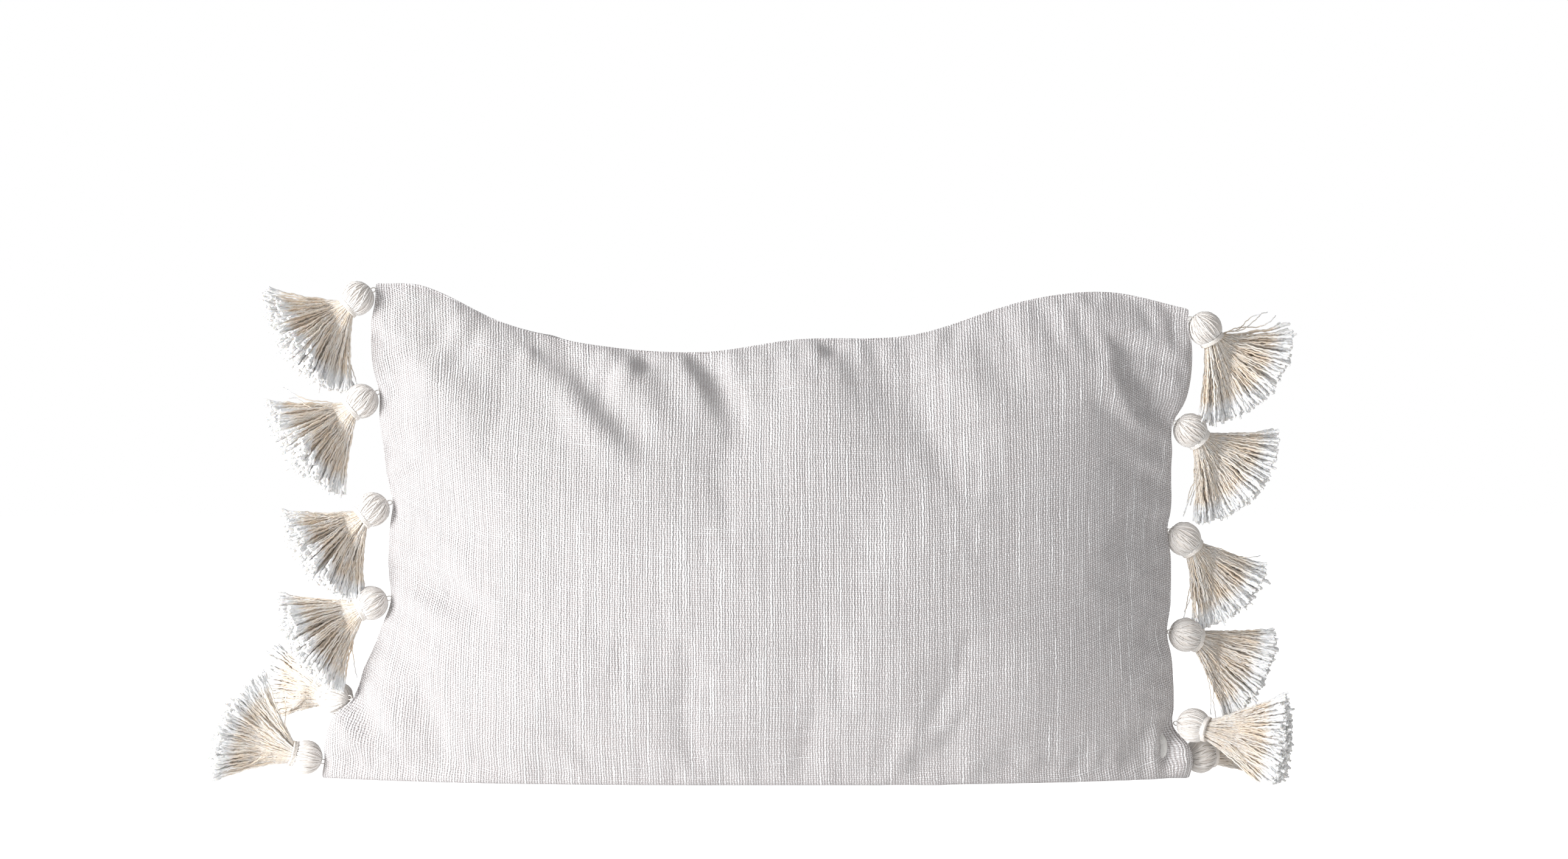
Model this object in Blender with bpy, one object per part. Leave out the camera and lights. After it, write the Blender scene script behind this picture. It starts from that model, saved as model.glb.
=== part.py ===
"""Lumbar throw pillow with six tassels down each short side, standing on its long edge.

The frame: +Z up, +X to the viewer's right, -Y towards the viewer. The origin is on the floor, in the
middle of the base that the pillow stands on. Metres throughout. Nothing is fused: the cover's two
panels, the hidden zip in the bottom seam, the insert's two panels, its filling, and the loop, head,
binding and skirt of every tassel are objects of their own, with a small gap where they touch.
"""

import math
from collections import namedtuple

import bmesh
import bpy
from mathutils import Vector

# The pillow as it stands
PILLOW_WIDTH = 0.609  # bottom corner to bottom corner
PILLOW_HEIGHT = 0.347  # floor to the left top corner
FRONT_BULGE = 0.068  # seam plane to the fullest point of the front
BACK_BULGE = 0.060
BASE_FRONT = 0.036  # how far the flat base reaches in front of the origin
BASE_BACK = 0.036
SEAM_BACK = 0.015  # the bottom seam runs this far behind the origin
SEAM_RISE = 0.090  # height at which the side seams are back over the origin
CLOTH = 0.0012  # cover fabric
TICKING = 0.0008  # insert fabric
GAP = 0.0003  # between pieces that touch
SEAM_MARGIN = 0.012  # insert's edge inside the cover's edge, and the filling's inside the insert's
SLACK = 0.0012  # air between two layers of cloth at their fullest point

# Hidden zip in the bottom seam
ZIP_LENGTH = 0.380
ZIP_OPENING = 0.410  # length of the slot in the seam that the zip sits in
SLOT_END = 0.010  # over which the slot closes at each end
SLOT_HALF_WIDTH = 0.0040
TAPE_WIDTH = 0.0130
TAPE_THICKNESS = 0.0006
COIL_RADIUS = 0.0011
POST_HALF_WIDTH = 0.00035
SLIDER_LENGTH = 0.0090
SLIDER_PLATE = 0.0006  # outer plate
SLIDER_BACK_PLATE = 0.0008  # inner plate
LIP_WIDTH = 0.00055
BRIDGE_FLOOR = 0.0006  # bridge above the floor
BRIDGE_BAR = 0.0006
BRIDGE_ROOM = 0.0016  # under the bridge, for the pull's crossbar
BRIDGE_HALF_LENGTH = 0.0038
BRIDGE_LEG = 0.0008
BRIDGE_HALF_WIDTH = 0.0010
PULL_LENGTH = 0.0220
PULL_HALF_WIDTH = 0.0025
PULL_THICKNESS = 0.0006
CROSSBAR = 0.0008
STOP_LENGTH = 0.0040
SLIDER_PARKED = 0.018  # closed slider's centre, in from the end of the coils

# Tassels
HEAD_RADIUS = 0.0120
NECK_RADIUS = 0.0072
NECK_LENGTH = 0.0034
SHOULDER_RADIUS = 0.0095  # where the round head is gathered in to the neck
BINDING_CORD = 0.0014  # radius of the wrapped binding's ring
LOOP_CORD = 0.0005
LOOP_HALF_WIDTH = 0.0022
LOOP_LENGTH = 0.0028
SKIRT_TOP_RADIUS = 0.0090
SKIRT_FLOOR = 0.0006  # skirts that lie on the floor are flat there
TASSELS_DRAWN_HEIGHT = 0.347  # pillow height and head radius that the lengths below are given for
TASSELS_DRAWN_HEAD = 0.0120
TASSEL_SPACING = 0.235  # a tassel's length follows its share of the height, so that it ends above the next one

# How each tassel lies. share: place up the seam. Angles in degrees: hang is the loop's and lie the
# skirt's, above the level line that points away from the pillow; turn is towards the viewer; rise and
# fall are how far the skirt fans above and below its own line, and deep how far it fans to each side.
# length is the cut yarn's, neck to ends.
Tassel = namedtuple("Tassel", "name side share hang lie turn rise fall deep length")
TASSELS = (
    Tassel("left_1", -1, 0.988, -28, -42, 12, 46, 40, 34, 0.058),
    Tassel("left_2", -1, 0.782, -28, -40, 10, 42, 38, 34, 0.058),
    Tassel("left_3", -1, 0.560, -22, -38, 12, 38, 27, 32, 0.056),
    Tassel("left_4", -1, 0.366, -14, -26, 10, 21, 19, 28, 0.056),
    Tassel("left_5", -1, 0.164, -4, 6, -34, 19, 20, 14, 0.060),
    Tassel("left_6", -1, 0.032, 16, 18, 18, 34, 28, 14, 0.056),
    Tassel("right_1", 1, 0.980, -30, -54, -20, 42, 26, 32, 0.058),
    Tassel("right_2", 1, 0.760, -24, -42, -20, 44, 34, 32, 0.058),
    Tassel("right_3", 1, 0.530, -26, -44, -22, 38, 20, 30, 0.056),
    Tassel("right_4", 1, 0.315, -10, -22, -20, 20, 26, 26, 0.056),
    Tassel("right_5", 1, 0.118, -4, -14, 26, 22, 20, 14, 0.062),
    Tassel("right_6", 1, 0.034, 14, 2, -26, 12, 16, 14, 0.056),
)

# Outline of the standing pillow. Sides: share of the height, and how far in from the bottom corner.
# Top: share of the width, and how far below the left top corner.
LEFT_EDGE = ((0, 0), (0.10, 0.010), (0.20, 0.031), (0.34, 0.050), (0.50, 0.0525), (0.64, 0.050), (0.82, 0.041), (1, 0.040))
RIGHT_EDGE = ((0, 0), (0.12, 0.012), (0.32, 0.017), (0.55, 0.0165), (0.72, 0.016), (0.84, 0.004), (1, 0.002))
TOP_EDGE = ((0, 0), (0.06, 0.002), (0.16, 0.028), (0.27, 0.043), (0.40, 0.048), (0.52, 0.039), (0.66, 0.036), (0.80, 0.012), (0.90, 0.006), (1, 0.018))
# Share of the bulge at each share of the height, above the edge of the base.
FRONT_RISE = ((0.14, 0.90), (0.36, 1), (0.62, 0.88), (0.82, 0.60), (0.94, 0.29), (1, 0))
BACK_RISE = ((0.14, 0.80), (0.36, 1), (0.62, 0.90), (0.82, 0.62), (0.94, 0.30), (1, 0))
ACROSS_SHARPNESS = 2.6  # of the bulge from side to side: higher is flatter in the middle
ACROSS_EDGE = 0.8  # lower is blunter at the side seams

# Mesh divisions
EDGE_COLUMNS = 6
SLOT_COLUMNS = 11
BASE_ROWS = 2
FACE_ROWS = 10
HEAD_SIDES = 12
SKIRT_SIDES = 14
CORD_SIDES = 6
COIL_SIDES = 10

Shape = namedtuple("Shape", "width height floor front back base_front base_back slot")


def material(name, colour, roughness, metallic=0.0):
    made = bpy.data.materials.new(name)
    made.use_nodes = True
    surface = made.node_tree.nodes["Principled BSDF"]
    surface.inputs["Base Color"].default_value = (*colour, 1)
    surface.inputs["Roughness"].default_value = roughness
    surface.inputs["Metallic"].default_value = metallic
    return made


def add_empty(name, place, parent=None):
    """Marks a joint: it lies on the joint's axis, and carries what the joint moves."""
    made = bpy.data.objects.new(name, None)
    made.empty_display_size = 0.01
    made.parent = parent
    made.location = place - (parent.location if parent else Vector())
    bpy.context.scene.collection.objects.link(made)
    return made


def add_object(name, bm, finish, carrier=None, smooth_angle=math.radians(40)):
    """The mesh's own zero is its carrier's place, or the frame's origin."""
    if carrier:
        place = Vector()
        empty = carrier
        while empty:
            place += empty.location
            empty = empty.parent
        bmesh.ops.translate(bm, verts=bm.verts, vec=-place)
    bmesh.ops.recalc_face_normals(bm, faces=bm.faces)
    if bm.calc_volume(signed=True) < 0:
        bmesh.ops.reverse_faces(bm, faces=bm.faces)
    mesh = bpy.data.meshes.new(name)
    bm.to_mesh(mesh)
    bm.free()
    mesh.materials.append(finish)
    mesh.shade_smooth()
    mesh.set_sharp_from_angle(angle=smooth_angle)
    made = bpy.data.objects.new(name, mesh)
    made.parent = carrier
    bpy.context.scene.collection.objects.link(made)
    return made


def along(points, at):
    """Smooth curve through (place, value) points, at one place."""
    last = len(points) - 1
    i = max(k for k in range(last) if k == 0 or points[k][0] <= at)
    (x0, y0), (x1, y1) = points[i], points[i + 1]
    before, after = points[max(i - 1, 0)], points[min(i + 2, last)]
    slope0 = (y1 - before[1]) / (x1 - before[0])
    slope1 = (after[1] - y0) / (after[0] - x0)
    span = x1 - x0
    t = min(max((at - x0) / span, 0), 1)
    return (
        y0 * (2 * t**3 - 3 * t**2 + 1)
        + y1 * (3 * t**2 - 2 * t**3)
        + span * slope0 * (t**3 - 2 * t**2 + t)
        + span * slope1 * (t**3 - t**2)
    )


def ease(t):
    return t * t * (3 - 2 * t)


# ---------------------------------------------------------------- pillow surfaces


def cover_shape():
    return Shape(PILLOW_WIDTH, PILLOW_HEIGHT, 0.0, FRONT_BULGE, BACK_BULGE, BASE_FRONT, BASE_BACK, True)


def inside_of(shape, skin, floor):
    """The next layer in: it clears a skin of that thickness, and stands on that floor."""
    inset = skin + SLACK
    return Shape(
        shape.width - 2 * SEAM_MARGIN,
        shape.height - SEAM_MARGIN,
        floor,
        shape.front - inset,
        shape.back - inset,
        shape.base_front - 2 * inset,
        shape.base_back - 2 * inset,
        False,
    )


def seam_y(z):
    """The seams lie in one plane, which runs back to the bottom seam near the floor."""
    return SEAM_BACK * (1 - ease(min(max(z / SEAM_RISE, 0), 1)))


def slot_share(x):
    """1 in the zip's slot, 0 where the bottom seam is closed."""
    return min(max((ZIP_OPENING / 2 + SLOT_END - abs(x)) / SLOT_END, 0), 1)


def side_x(shape, side, v):
    inset = along(LEFT_EDGE if side < 0 else RIGHT_EDGE, v)
    return side * (shape.width / 2 - inset)


def outline(shape, u, v):
    """x and z on the seam plane: u from left to right, v from the floor to the top seam."""
    x = side_x(shape, -1, v) * (1 - u) + side_x(shape, 1, v) * u
    top = shape.height - along(TOP_EDGE, u)
    return x, shape.floor + v * (top - shape.floor)


def bulge(shape, facing, u, v):
    """Depth of the filling in front of (facing -1) or behind (facing 1) the seam plane."""
    full, rise = (shape.front, FRONT_RISE) if facing < 0 else (shape.back, BACK_RISE)
    base = shape.base_front + SEAM_BACK if facing < 0 else shape.base_back - SEAM_BACK
    across = (1 - abs(2 * u - 1) ** ACROSS_SHARPNESS) ** ACROSS_EDGE
    return full * across * along(((0, base / full), *rise), v)


def face_point(shape, facing, u, v, gap=GAP):
    x, z = outline(shape, u, v)
    return Vector((x, seam_y(z) + facing * (gap / 2 + bulge(shape, facing, u, v)), z))


def columns():
    """Shares of the width, closer together at the sides, with one on each end of the zip's slot."""
    slot_end = 0.5 - ZIP_OPENING / 2 / PILLOW_WIDTH
    closed = slot_end - SLOT_END / PILLOW_WIDTH
    sides = [closed * (1 - math.cos(math.pi / 2 * i / EDGE_COLUMNS)) for i in range(EDGE_COLUMNS + 1)]
    middle = [slot_end + (1 - 2 * slot_end) * i / (SLOT_COLUMNS - 1) for i in range(SLOT_COLUMNS)]
    return [*sides, *middle, *(1 - u for u in reversed(sides))]


def face_heights():
    """Shares of the height, closer together at the floor and the top seam."""
    even = [i / FACE_ROWS for i in range(FACE_ROWS + 1)]
    return [(t + 0.5 - math.cos(math.pi * t) / 2) / 2 for t in even]


def panel_surface(shape, facing, gap=GAP):
    """One face of the pillow as an open sheet: up the slot's side, along the base, up to the top seam.
    The gap is between this face's edges and the other face's."""
    bm = bmesh.new()
    grid = []
    for u in columns():
        edge = face_point(shape, facing, u, 0, gap)
        slot = slot_share(edge.x) if shape.slot else 0
        inner_y = seam_y(shape.floor) + facing * (gap / 2 + slot * (SLOT_HALF_WIDTH - gap / 2))
        column = [Vector((edge.x, inner_y, shape.floor + slot * zip_levels()["tape"] - slot * GAP))]
        for row in range(BASE_ROWS):
            column.append(Vector((edge.x, inner_y + (edge.y - inner_y) * row / BASE_ROWS, shape.floor)))
        column += [face_point(shape, facing, u, v, gap) for v in face_heights()]
        grid.append([bm.verts.new(p) for p in column])
    for left, right in zip(grid, grid[1:]):
        for i in range(len(left) - 1):
            bm.faces.new((left[i], right[i], right[i + 1], left[i + 1]))
    bmesh.ops.remove_doubles(bm, verts=bm.verts, dist=1e-6)
    bmesh.ops.dissolve_degenerate(bm, edges=bm.edges, dist=1e-7)
    if facing > 0:
        bmesh.ops.reverse_faces(bm, faces=bm.faces)
    bm.normal_update()
    return bm


def panel(name, shape, facing, thickness, finish):
    """A cloth panel: its outer sheet, the same sheet one thickness further in, and the cut edge between."""
    bm = panel_surface(shape, facing)
    outer = list(bm.verts)
    inner = {}
    for v in outer:
        p = v.co - v.normal * thickness * min(v.calc_shell_factor(), 1.5)
        p.z = max(p.z, min(shape.floor + thickness, v.co.z + thickness))
        own_side = facing * GAP / 2 + seam_y(p.z)
        p.y = min(p.y, own_side) if facing < 0 else max(p.y, own_side)
        inner[v] = bm.verts.new(p)
    edges = [e for e in bm.edges if e.is_boundary]
    for face in list(bm.faces):
        bm.faces.new([inner[v] for v in reversed(face.verts)])
    for e in edges:
        a, b = e.verts
        bm.faces.new((a, b, inner[b], inner[a]))
    return add_object(name, bm, finish)


def filling(name, shape, finish):
    """One closed body with the insert's shape."""
    bm = panel_surface(shape, -1, 0)
    back = panel_surface(shape, 1, 0)
    matched = {v: bm.verts.new(v.co) for v in back.verts}
    for face in back.faces:
        bm.faces.new([matched[v] for v in face.verts])
    back.free()
    bmesh.ops.remove_doubles(bm, verts=bm.verts, dist=1e-6)
    return add_object(name, bm, finish)


# ---------------------------------------------------------------- rings and boxes


def ring_solid(name, rings, finish, carrier=None, closed_loop=False):
    """A skin over rings of points. A ring of one point is a tip; an open end is capped flat."""
    bm = bmesh.new()
    made = [[bm.verts.new(p) for p in ring] for ring in rings]
    pairs = list(zip(made, made[1:] + made[:1])) if closed_loop else list(zip(made, made[1:]))
    for a, b in pairs:
        sides = max(len(a), len(b))
        for i in range(sides):
            j = (i + 1) % sides
            corners = [a[i % len(a)], a[j % len(a)], b[j % len(b)], b[i % len(b)]]
            bm.faces.new(dict.fromkeys(corners))
    if not closed_loop:
        for end in (made[0], made[-1]):
            if len(end) > 2:
                bm.faces.new(end)
    return add_object(name, bm, finish, carrier)


def ring(centre, across, up, radius, sides, start=0.0):
    turns = [start + math.tau * i / sides for i in range(sides)]
    return [centre + (across * math.cos(a) + up * math.sin(a)) * radius for a in turns]


def box_solid(name, low, high, finish):
    corners = [[(x, y, z) for x, y in ((low[0], low[1]), (high[0], low[1]), (high[0], high[1]), (low[0], high[1]))] for z in (low[2], high[2])]
    return ring_solid(name, [[Vector(p) for p in ring_points] for ring_points in corners], finish)


def extruded(name, profile, direction, finish, carrier=None):
    """A flat outline pushed along a direction."""
    rings = [profile, [p + direction for p in profile]]
    return ring_solid(name, rings, finish, carrier)


# ---------------------------------------------------------------- zip


def zip_levels():
    """Heights above the floor of the zip's layers, from the bridge up to the slider's inner plate."""
    room = BRIDGE_FLOOR + BRIDGE_BAR
    plate = room + BRIDGE_ROOM
    tape = plate + SLIDER_PLATE + GAP
    coil = tape + TAPE_THICKNESS + GAP
    back_plate = coil + 2 * COIL_RADIUS + GAP
    return {
        "room": room,
        "pivot": room + BRIDGE_ROOM / 2,
        "plate": plate,
        "tape": tape,
        "coil": coil,
        "back_plate": back_plate,
        "top": back_plate + SLIDER_BACK_PLATE,
    }


def slider_x():
    return ZIP_LENGTH / 2 - SLIDER_PARKED


def zip_tape(name, facing, finish):
    level = zip_levels()["tape"]
    near, far = POST_HALF_WIDTH + GAP, POST_HALF_WIDTH + GAP + TAPE_WIDTH
    y0, y1 = sorted((SEAM_BACK + facing * near, SEAM_BACK + facing * far))
    return box_solid(name, (-ZIP_LENGTH / 2, y0, level), (ZIP_LENGTH / 2, y1, level + TAPE_THICKNESS), finish)


def coil_y(facing):
    return SEAM_BACK + facing * (POST_HALF_WIDTH + GAP + COIL_RADIUS)


def zip_coil(name, facing, finish):
    """The outside of one coil: a bar as thick as the coil."""
    z = zip_levels()["coil"] + COIL_RADIUS
    rings = [
        ring(Vector((x, coil_y(facing), z)), Vector((0, 1, 0)), Vector((0, 0, 1)), COIL_RADIUS, COIL_SIDES)
        for x in (-ZIP_LENGTH / 2, ZIP_LENGTH / 2)
    ]
    return ring_solid(name, rings, finish)


def zip_slider(name, finish, carrier):
    """Outer plate, post and lipped inner plate, with a bridge under the outer plate for the pull."""
    level = zip_levels()
    half = SLOT_HALF_WIDTH - GAP
    lip_end = level["tape"] + TAPE_THICKNESS + GAP
    right_half = [
        (half, level["plate"]),
        (half, level["plate"] + SLIDER_PLATE),
        (POST_HALF_WIDTH, level["plate"] + SLIDER_PLATE),
        (POST_HALF_WIDTH, level["back_plate"]),
        (half - LIP_WIDTH, level["back_plate"]),
        (half - LIP_WIDTH, lip_end),
        (half, lip_end),
        (half, level["top"]),
    ]
    left_half = [(-y, z) for y, z in reversed(right_half)]
    start = slider_x() - SLIDER_LENGTH / 2
    profile = [Vector((start, SEAM_BACK + y, z)) for y, z in right_half + left_half]
    body = extruded(name, profile, Vector((SLIDER_LENGTH, 0, 0)), finish, carrier)

    outer, inner = BRIDGE_HALF_LENGTH, BRIDGE_HALF_LENGTH - BRIDGE_LEG
    rooted = level["plate"] + SLIDER_PLATE / 2
    arch = [(-outer, rooted), (-outer, BRIDGE_FLOOR), (outer, BRIDGE_FLOOR), (outer, rooted), (inner, rooted), (inner, level["room"]), (-inner, level["room"]), (-inner, rooted)]
    profile = [Vector((slider_x() + x, SEAM_BACK - BRIDGE_HALF_WIDTH, z)) for x, z in arch]
    bridge = extruded("slider_bridge_shape", profile, Vector((0, 2 * BRIDGE_HALF_WIDTH, 0)), finish, carrier)
    bridge.hide_render = True
    bridge.display_type = "WIRE"
    join = body.modifiers.new("Bridge", "BOOLEAN")
    join.operation = "UNION"
    join.object = bridge
    return body


def zip_pull(name, finish, carrier):
    """A flat tab, parked pointing along the zip. A window near its end leaves a crossbar for the bridge."""
    level = zip_levels()["pivot"]
    window_start = CROSSBAR / 2
    window_end = math.hypot(BRIDGE_HALF_LENGTH, level - BRIDGE_FLOOR) + GAP
    window_half = BRIDGE_HALF_WIDTH + GAP
    round_start = PULL_LENGTH - PULL_HALF_WIDTH
    tip = [
        (round_start + PULL_HALF_WIDTH * math.sin(a), PULL_HALF_WIDTH * math.cos(a))
        for a in (math.pi * i / 8 for i in range(9))
    ]
    outer = [(-CROSSBAR / 2, PULL_HALF_WIDTH), *tip, (-CROSSBAR / 2, -PULL_HALF_WIDTH)]
    place = lambda x, y: Vector((slider_x() - x, SEAM_BACK + y, level - PULL_THICKNESS / 2))
    lift = Vector((0, 0, PULL_THICKNESS))
    tab = extruded(name, [place(x, y) for x, y in outer], lift, finish, carrier)
    corners = ((window_start, window_half), (window_end, window_half), (window_end, -window_half), (window_start, -window_half))
    window = extruded("pull_window_shape", [place(x, y) - lift for x, y in corners], 3 * lift, finish, carrier)
    window.hide_render = True
    window.display_type = "WIRE"
    cut = tab.modifiers.new("Window", "BOOLEAN")
    cut.operation = "DIFFERENCE"
    cut.object = window
    return tab


def zip_end_stop(name, finish):
    """A crimped bar over both coils, at the end that the open slider runs to."""
    level = zip_levels()["back_plate"]
    half = POST_HALF_WIDTH + GAP + 2 * COIL_RADIUS
    start = -ZIP_LENGTH / 2
    return box_solid(name, (start, SEAM_BACK - half, level), (start + STOP_LENGTH, SEAM_BACK + half, level + SLIDER_BACK_PLATE), finish)


# ---------------------------------------------------------------- tassels


def direction(tassel, angle):
    """Unit vector at that angle above the level, away from the pillow, turned towards the viewer."""
    up, turn = math.radians(angle), math.radians(tassel.turn)
    return Vector((tassel.side * math.cos(up) * math.cos(turn), -math.cos(up) * math.sin(turn), math.sin(up)))


def seam_rows(side, share):
    """The two points of the cover's edge that this share of the seam lies between, lower one first."""
    heights = face_heights()
    row = max(i for i, v in enumerate(heights[:-1]) if v <= share)
    ends = []
    for v in heights[row : row + 2]:
        x, z = outline(cover_shape(), 0 if side < 0 else 1, v)
        ends.append(Vector((x, seam_y(z), z)))
    return *ends, (share - heights[row]) / (heights[row + 1] - heights[row])


def seam_direction(tassel):
    low, high, _ = seam_rows(tassel.side, tassel.share)
    return (high - low).normalized()


def pivot(tassel):
    """Centre of the loop's cord where it meets the seam. The tassel swings about the upright line through it."""
    low, high, between = seam_rows(tassel.side, tassel.share)
    run = seam_direction(tassel)
    out = Vector((tassel.side * run.z, 0, -tassel.side * run.x)).normalized()
    return low.lerp(high, between) + out * (LOOP_CORD + 2 * GAP)


def head_centre(tassel):
    return pivot(tassel) + direction(tassel, tassel.hang) * (LOOP_LENGTH - LOOP_CORD + GAP + HEAD_RADIUS)


def tassel_loop(tassel, finish, carrier):
    """An oval ring of cord, from the seam to the head."""
    run = direction(tassel, tassel.hang)
    across = seam_direction(tassel).cross(run).normalized()
    side = run.cross(across).normalized()
    half = (LOOP_LENGTH - 2 * LOOP_CORD) / 2
    centre = pivot(tassel) + run * half
    rings = []
    for i in range(8):
        turn = math.tau * i / 8
        middle = centre - run * half * math.cos(turn) + side * (LOOP_HALF_WIDTH - LOOP_CORD) * math.sin(turn)
        out = (middle - centre).normalized()
        rings.append(ring(middle, out, across, LOOP_CORD, CORD_SIDES))
    return ring_solid(tassel.name + "_loop", rings, finish, carrier, closed_loop=True)


def tassel_frame(tassel):
    """The head's centre, the line of the skirt, and the two directions square to it."""
    axis = direction(tassel, tassel.lie)
    up = direction(tassel, tassel.lie + 90)
    return head_centre(tassel), axis, up, axis.cross(up).normalized()


def shoulder():
    """Distance from the head's centre to where it is gathered in."""
    return math.sqrt(HEAD_RADIUS**2 - SHOULDER_RADIUS**2)


def tassel_head(tassel, finish, carrier):
    """A round head, gathered in to a neck that the binding goes round."""
    centre, axis, up, deep = tassel_frame(tassel)
    last = math.acos(-shoulder() / HEAD_RADIUS)
    rings = [[centre - axis * HEAD_RADIUS]]
    for i in range(1, 7):
        a = last * i / 6
        rings.append(ring(centre - axis * HEAD_RADIUS * math.cos(a), up, deep, HEAD_RADIUS * math.sin(a), HEAD_SIDES))
    for reach in (shoulder() + GAP, shoulder() + NECK_LENGTH):
        rings.append(ring(centre + axis * reach, up, deep, NECK_RADIUS, HEAD_SIDES))
    return ring_solid(tassel.name + "_head", rings, finish, carrier)


def tassel_binding(tassel, finish, carrier):
    """The wrapped cord round the neck."""
    centre, axis, up, deep = tassel_frame(tassel)
    middle = centre + axis * (shoulder() + 2 * GAP + BINDING_CORD)
    radius = NECK_RADIUS + GAP + BINDING_CORD
    rings = []
    for i in range(HEAD_SIDES):
        turn = math.tau * i / HEAD_SIDES
        out = up * math.cos(turn) + deep * math.sin(turn)
        rings.append(ring(middle + out * radius, out, axis, BINDING_CORD, CORD_SIDES))
    return ring_solid(tassel.name + "_binding", rings, finish, carrier, closed_loop=True)


def skirt_length(tassel):
    """Tassels that stand closer together, or that spend more of their length on the head, have less to hang."""
    more_room = (PILLOW_HEIGHT - TASSELS_DRAWN_HEIGHT) * TASSEL_SPACING
    return tassel.length + more_room - 2 * (HEAD_RADIUS - TASSELS_DRAWN_HEAD)


def tassel_skirt(tassel, finish, carrier):
    """The fan of cut yarn: it leaves the neck round, and its ends lie on an arc about the neck."""
    centre, axis, up, deep = tassel_frame(tassel)
    neck = centre + axis * (shoulder() + NECK_LENGTH + GAP)

    def yarn_end(turn, share, length):
        """A point on the yarn that leaves the neck at this turn, at this share of the way out from its middle."""
        rise = tassel.rise if math.cos(turn) > 0 else tassel.fall
        lift = math.radians(rise * share * math.cos(turn))
        swing = math.radians(tassel.deep * share * math.sin(turn))
        run = (axis * math.cos(lift) + up * math.sin(lift)) * math.cos(swing) + deep * math.sin(swing)
        root = (up * math.cos(turn) + deep * math.sin(turn)) * SKIRT_TOP_RADIUS * share
        p = neck + root + run * length
        return Vector((p.x, p.y, max(p.z, SKIRT_FLOOR)))

    turns = [math.tau * i / SKIRT_SIDES for i in range(SKIRT_SIDES)]
    full = skirt_length(tassel)
    rings = [[yarn_end(t, 1, full * reach) for t in turns] for reach in (0, 0.35, 0.7, 0.94)]
    rings.append([yarn_end(t, 0.86, full) for t in turns])
    rings.append([yarn_end(t, 0.45, full * 1.02) for t in turns])
    rings.append([yarn_end(0, 0, full * 1.02)])
    return ring_solid(tassel.name + "_skirt", rings, finish, carrier)


def build():
    for old in list(bpy.data.objects):
        bpy.data.objects.remove(old)
    slub = material("slub_cotton", (0.86, 0.84, 0.83), 0.92)
    ticking = material("ticking", (0.92, 0.91, 0.89), 0.85)
    fibre = material("fibre_filling", (0.95, 0.95, 0.94), 0.95)
    tape = material("zip_tape", (0.84, 0.82, 0.79), 0.85)
    nylon = material("zip_nylon", (0.88, 0.86, 0.83), 0.45)
    metal = material("zip_metal", (0.70, 0.69, 0.67), 0.35, 1.0)
    yarn = material("cotton_yarn", (0.86, 0.79, 0.70), 0.93)
    binding = material("binding_yarn", (0.82, 0.76, 0.68), 0.93)

    cover = cover_shape()
    insert = inside_of(cover, CLOTH, zip_levels()["top"] + 3 * GAP)
    filled = inside_of(insert, TICKING, insert.floor + TICKING + SLACK)
    for facing, side in ((-1, "front"), (1, "back")):
        panel("cover_" + side, cover, facing, CLOTH, slub)
        panel("insert_" + side, insert, facing, TICKING, ticking)
        zip_tape("zip_tape_" + side, facing, tape)
        zip_coil("zip_coil_" + side, facing, nylon)
    filling("insert_filling", filled, fibre)
    slide = add_empty("zip_slide", Vector((slider_x(), SEAM_BACK, 0)))
    zip_slider("zip_slider", metal, slide)
    zip_pull("zip_pull", metal, add_empty("zip_pull_swing", Vector((slider_x(), SEAM_BACK, zip_levels()["pivot"])), slide))
    zip_end_stop("zip_end_stop", metal)
    for tassel in TASSELS:
        swing = add_empty(tassel.name + "_swing", pivot(tassel))
        tassel_loop(tassel, binding, swing)
        tassel_head(tassel, yarn, swing)
        tassel_binding(tassel, binding, swing)
        tassel_skirt(tassel, yarn, swing)


build()
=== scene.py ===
"""Lumbar throw pillow in slub cotton with yarn tassels: cloth, zip and yarn over the solids of the part.

The frame: +Z up, +X to the viewer's right, -Y towards the viewer, origin on the floor in the middle of
the base. Metres throughout.
"""

import math
from collections import namedtuple

import bmesh
import bpy
import numpy as np
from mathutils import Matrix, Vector


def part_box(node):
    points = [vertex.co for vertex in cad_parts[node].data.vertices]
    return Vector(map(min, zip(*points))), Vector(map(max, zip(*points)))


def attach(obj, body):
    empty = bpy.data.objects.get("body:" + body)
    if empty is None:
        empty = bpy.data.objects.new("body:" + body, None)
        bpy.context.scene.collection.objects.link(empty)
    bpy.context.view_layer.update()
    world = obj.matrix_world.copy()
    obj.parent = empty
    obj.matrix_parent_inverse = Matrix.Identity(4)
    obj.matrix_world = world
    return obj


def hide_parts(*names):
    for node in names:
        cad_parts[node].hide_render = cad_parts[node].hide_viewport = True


# The pillow as it stands: the same sizes as the solids
PILLOW_WIDTH = 0.609
PILLOW_HEIGHT = 0.347
FRONT_BULGE = 0.068
BACK_BULGE = 0.060
BASE_FRONT = 0.036
BASE_BACK = 0.036
SEAM_BACK = 0.015  # the bottom seam runs this far behind the origin
SEAM_RISE = 0.090
ZIP_OPENING = 0.410
SLOT_END = 0.010
SLOT_HALF_WIDTH = 0.0040
SLOT_DEPTH = 0.0034
GAP = 0.0003
FLAT_WIDTH = 0.610  # each panel as cut, seam to seam
FLAT_HEIGHT = 0.356
ACROSS_SHARPNESS = 2.6  # of the bulge from side to side: higher is flatter in the middle
ACROSS_EDGE = 0.8  # lower is blunter at the side seams

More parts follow.
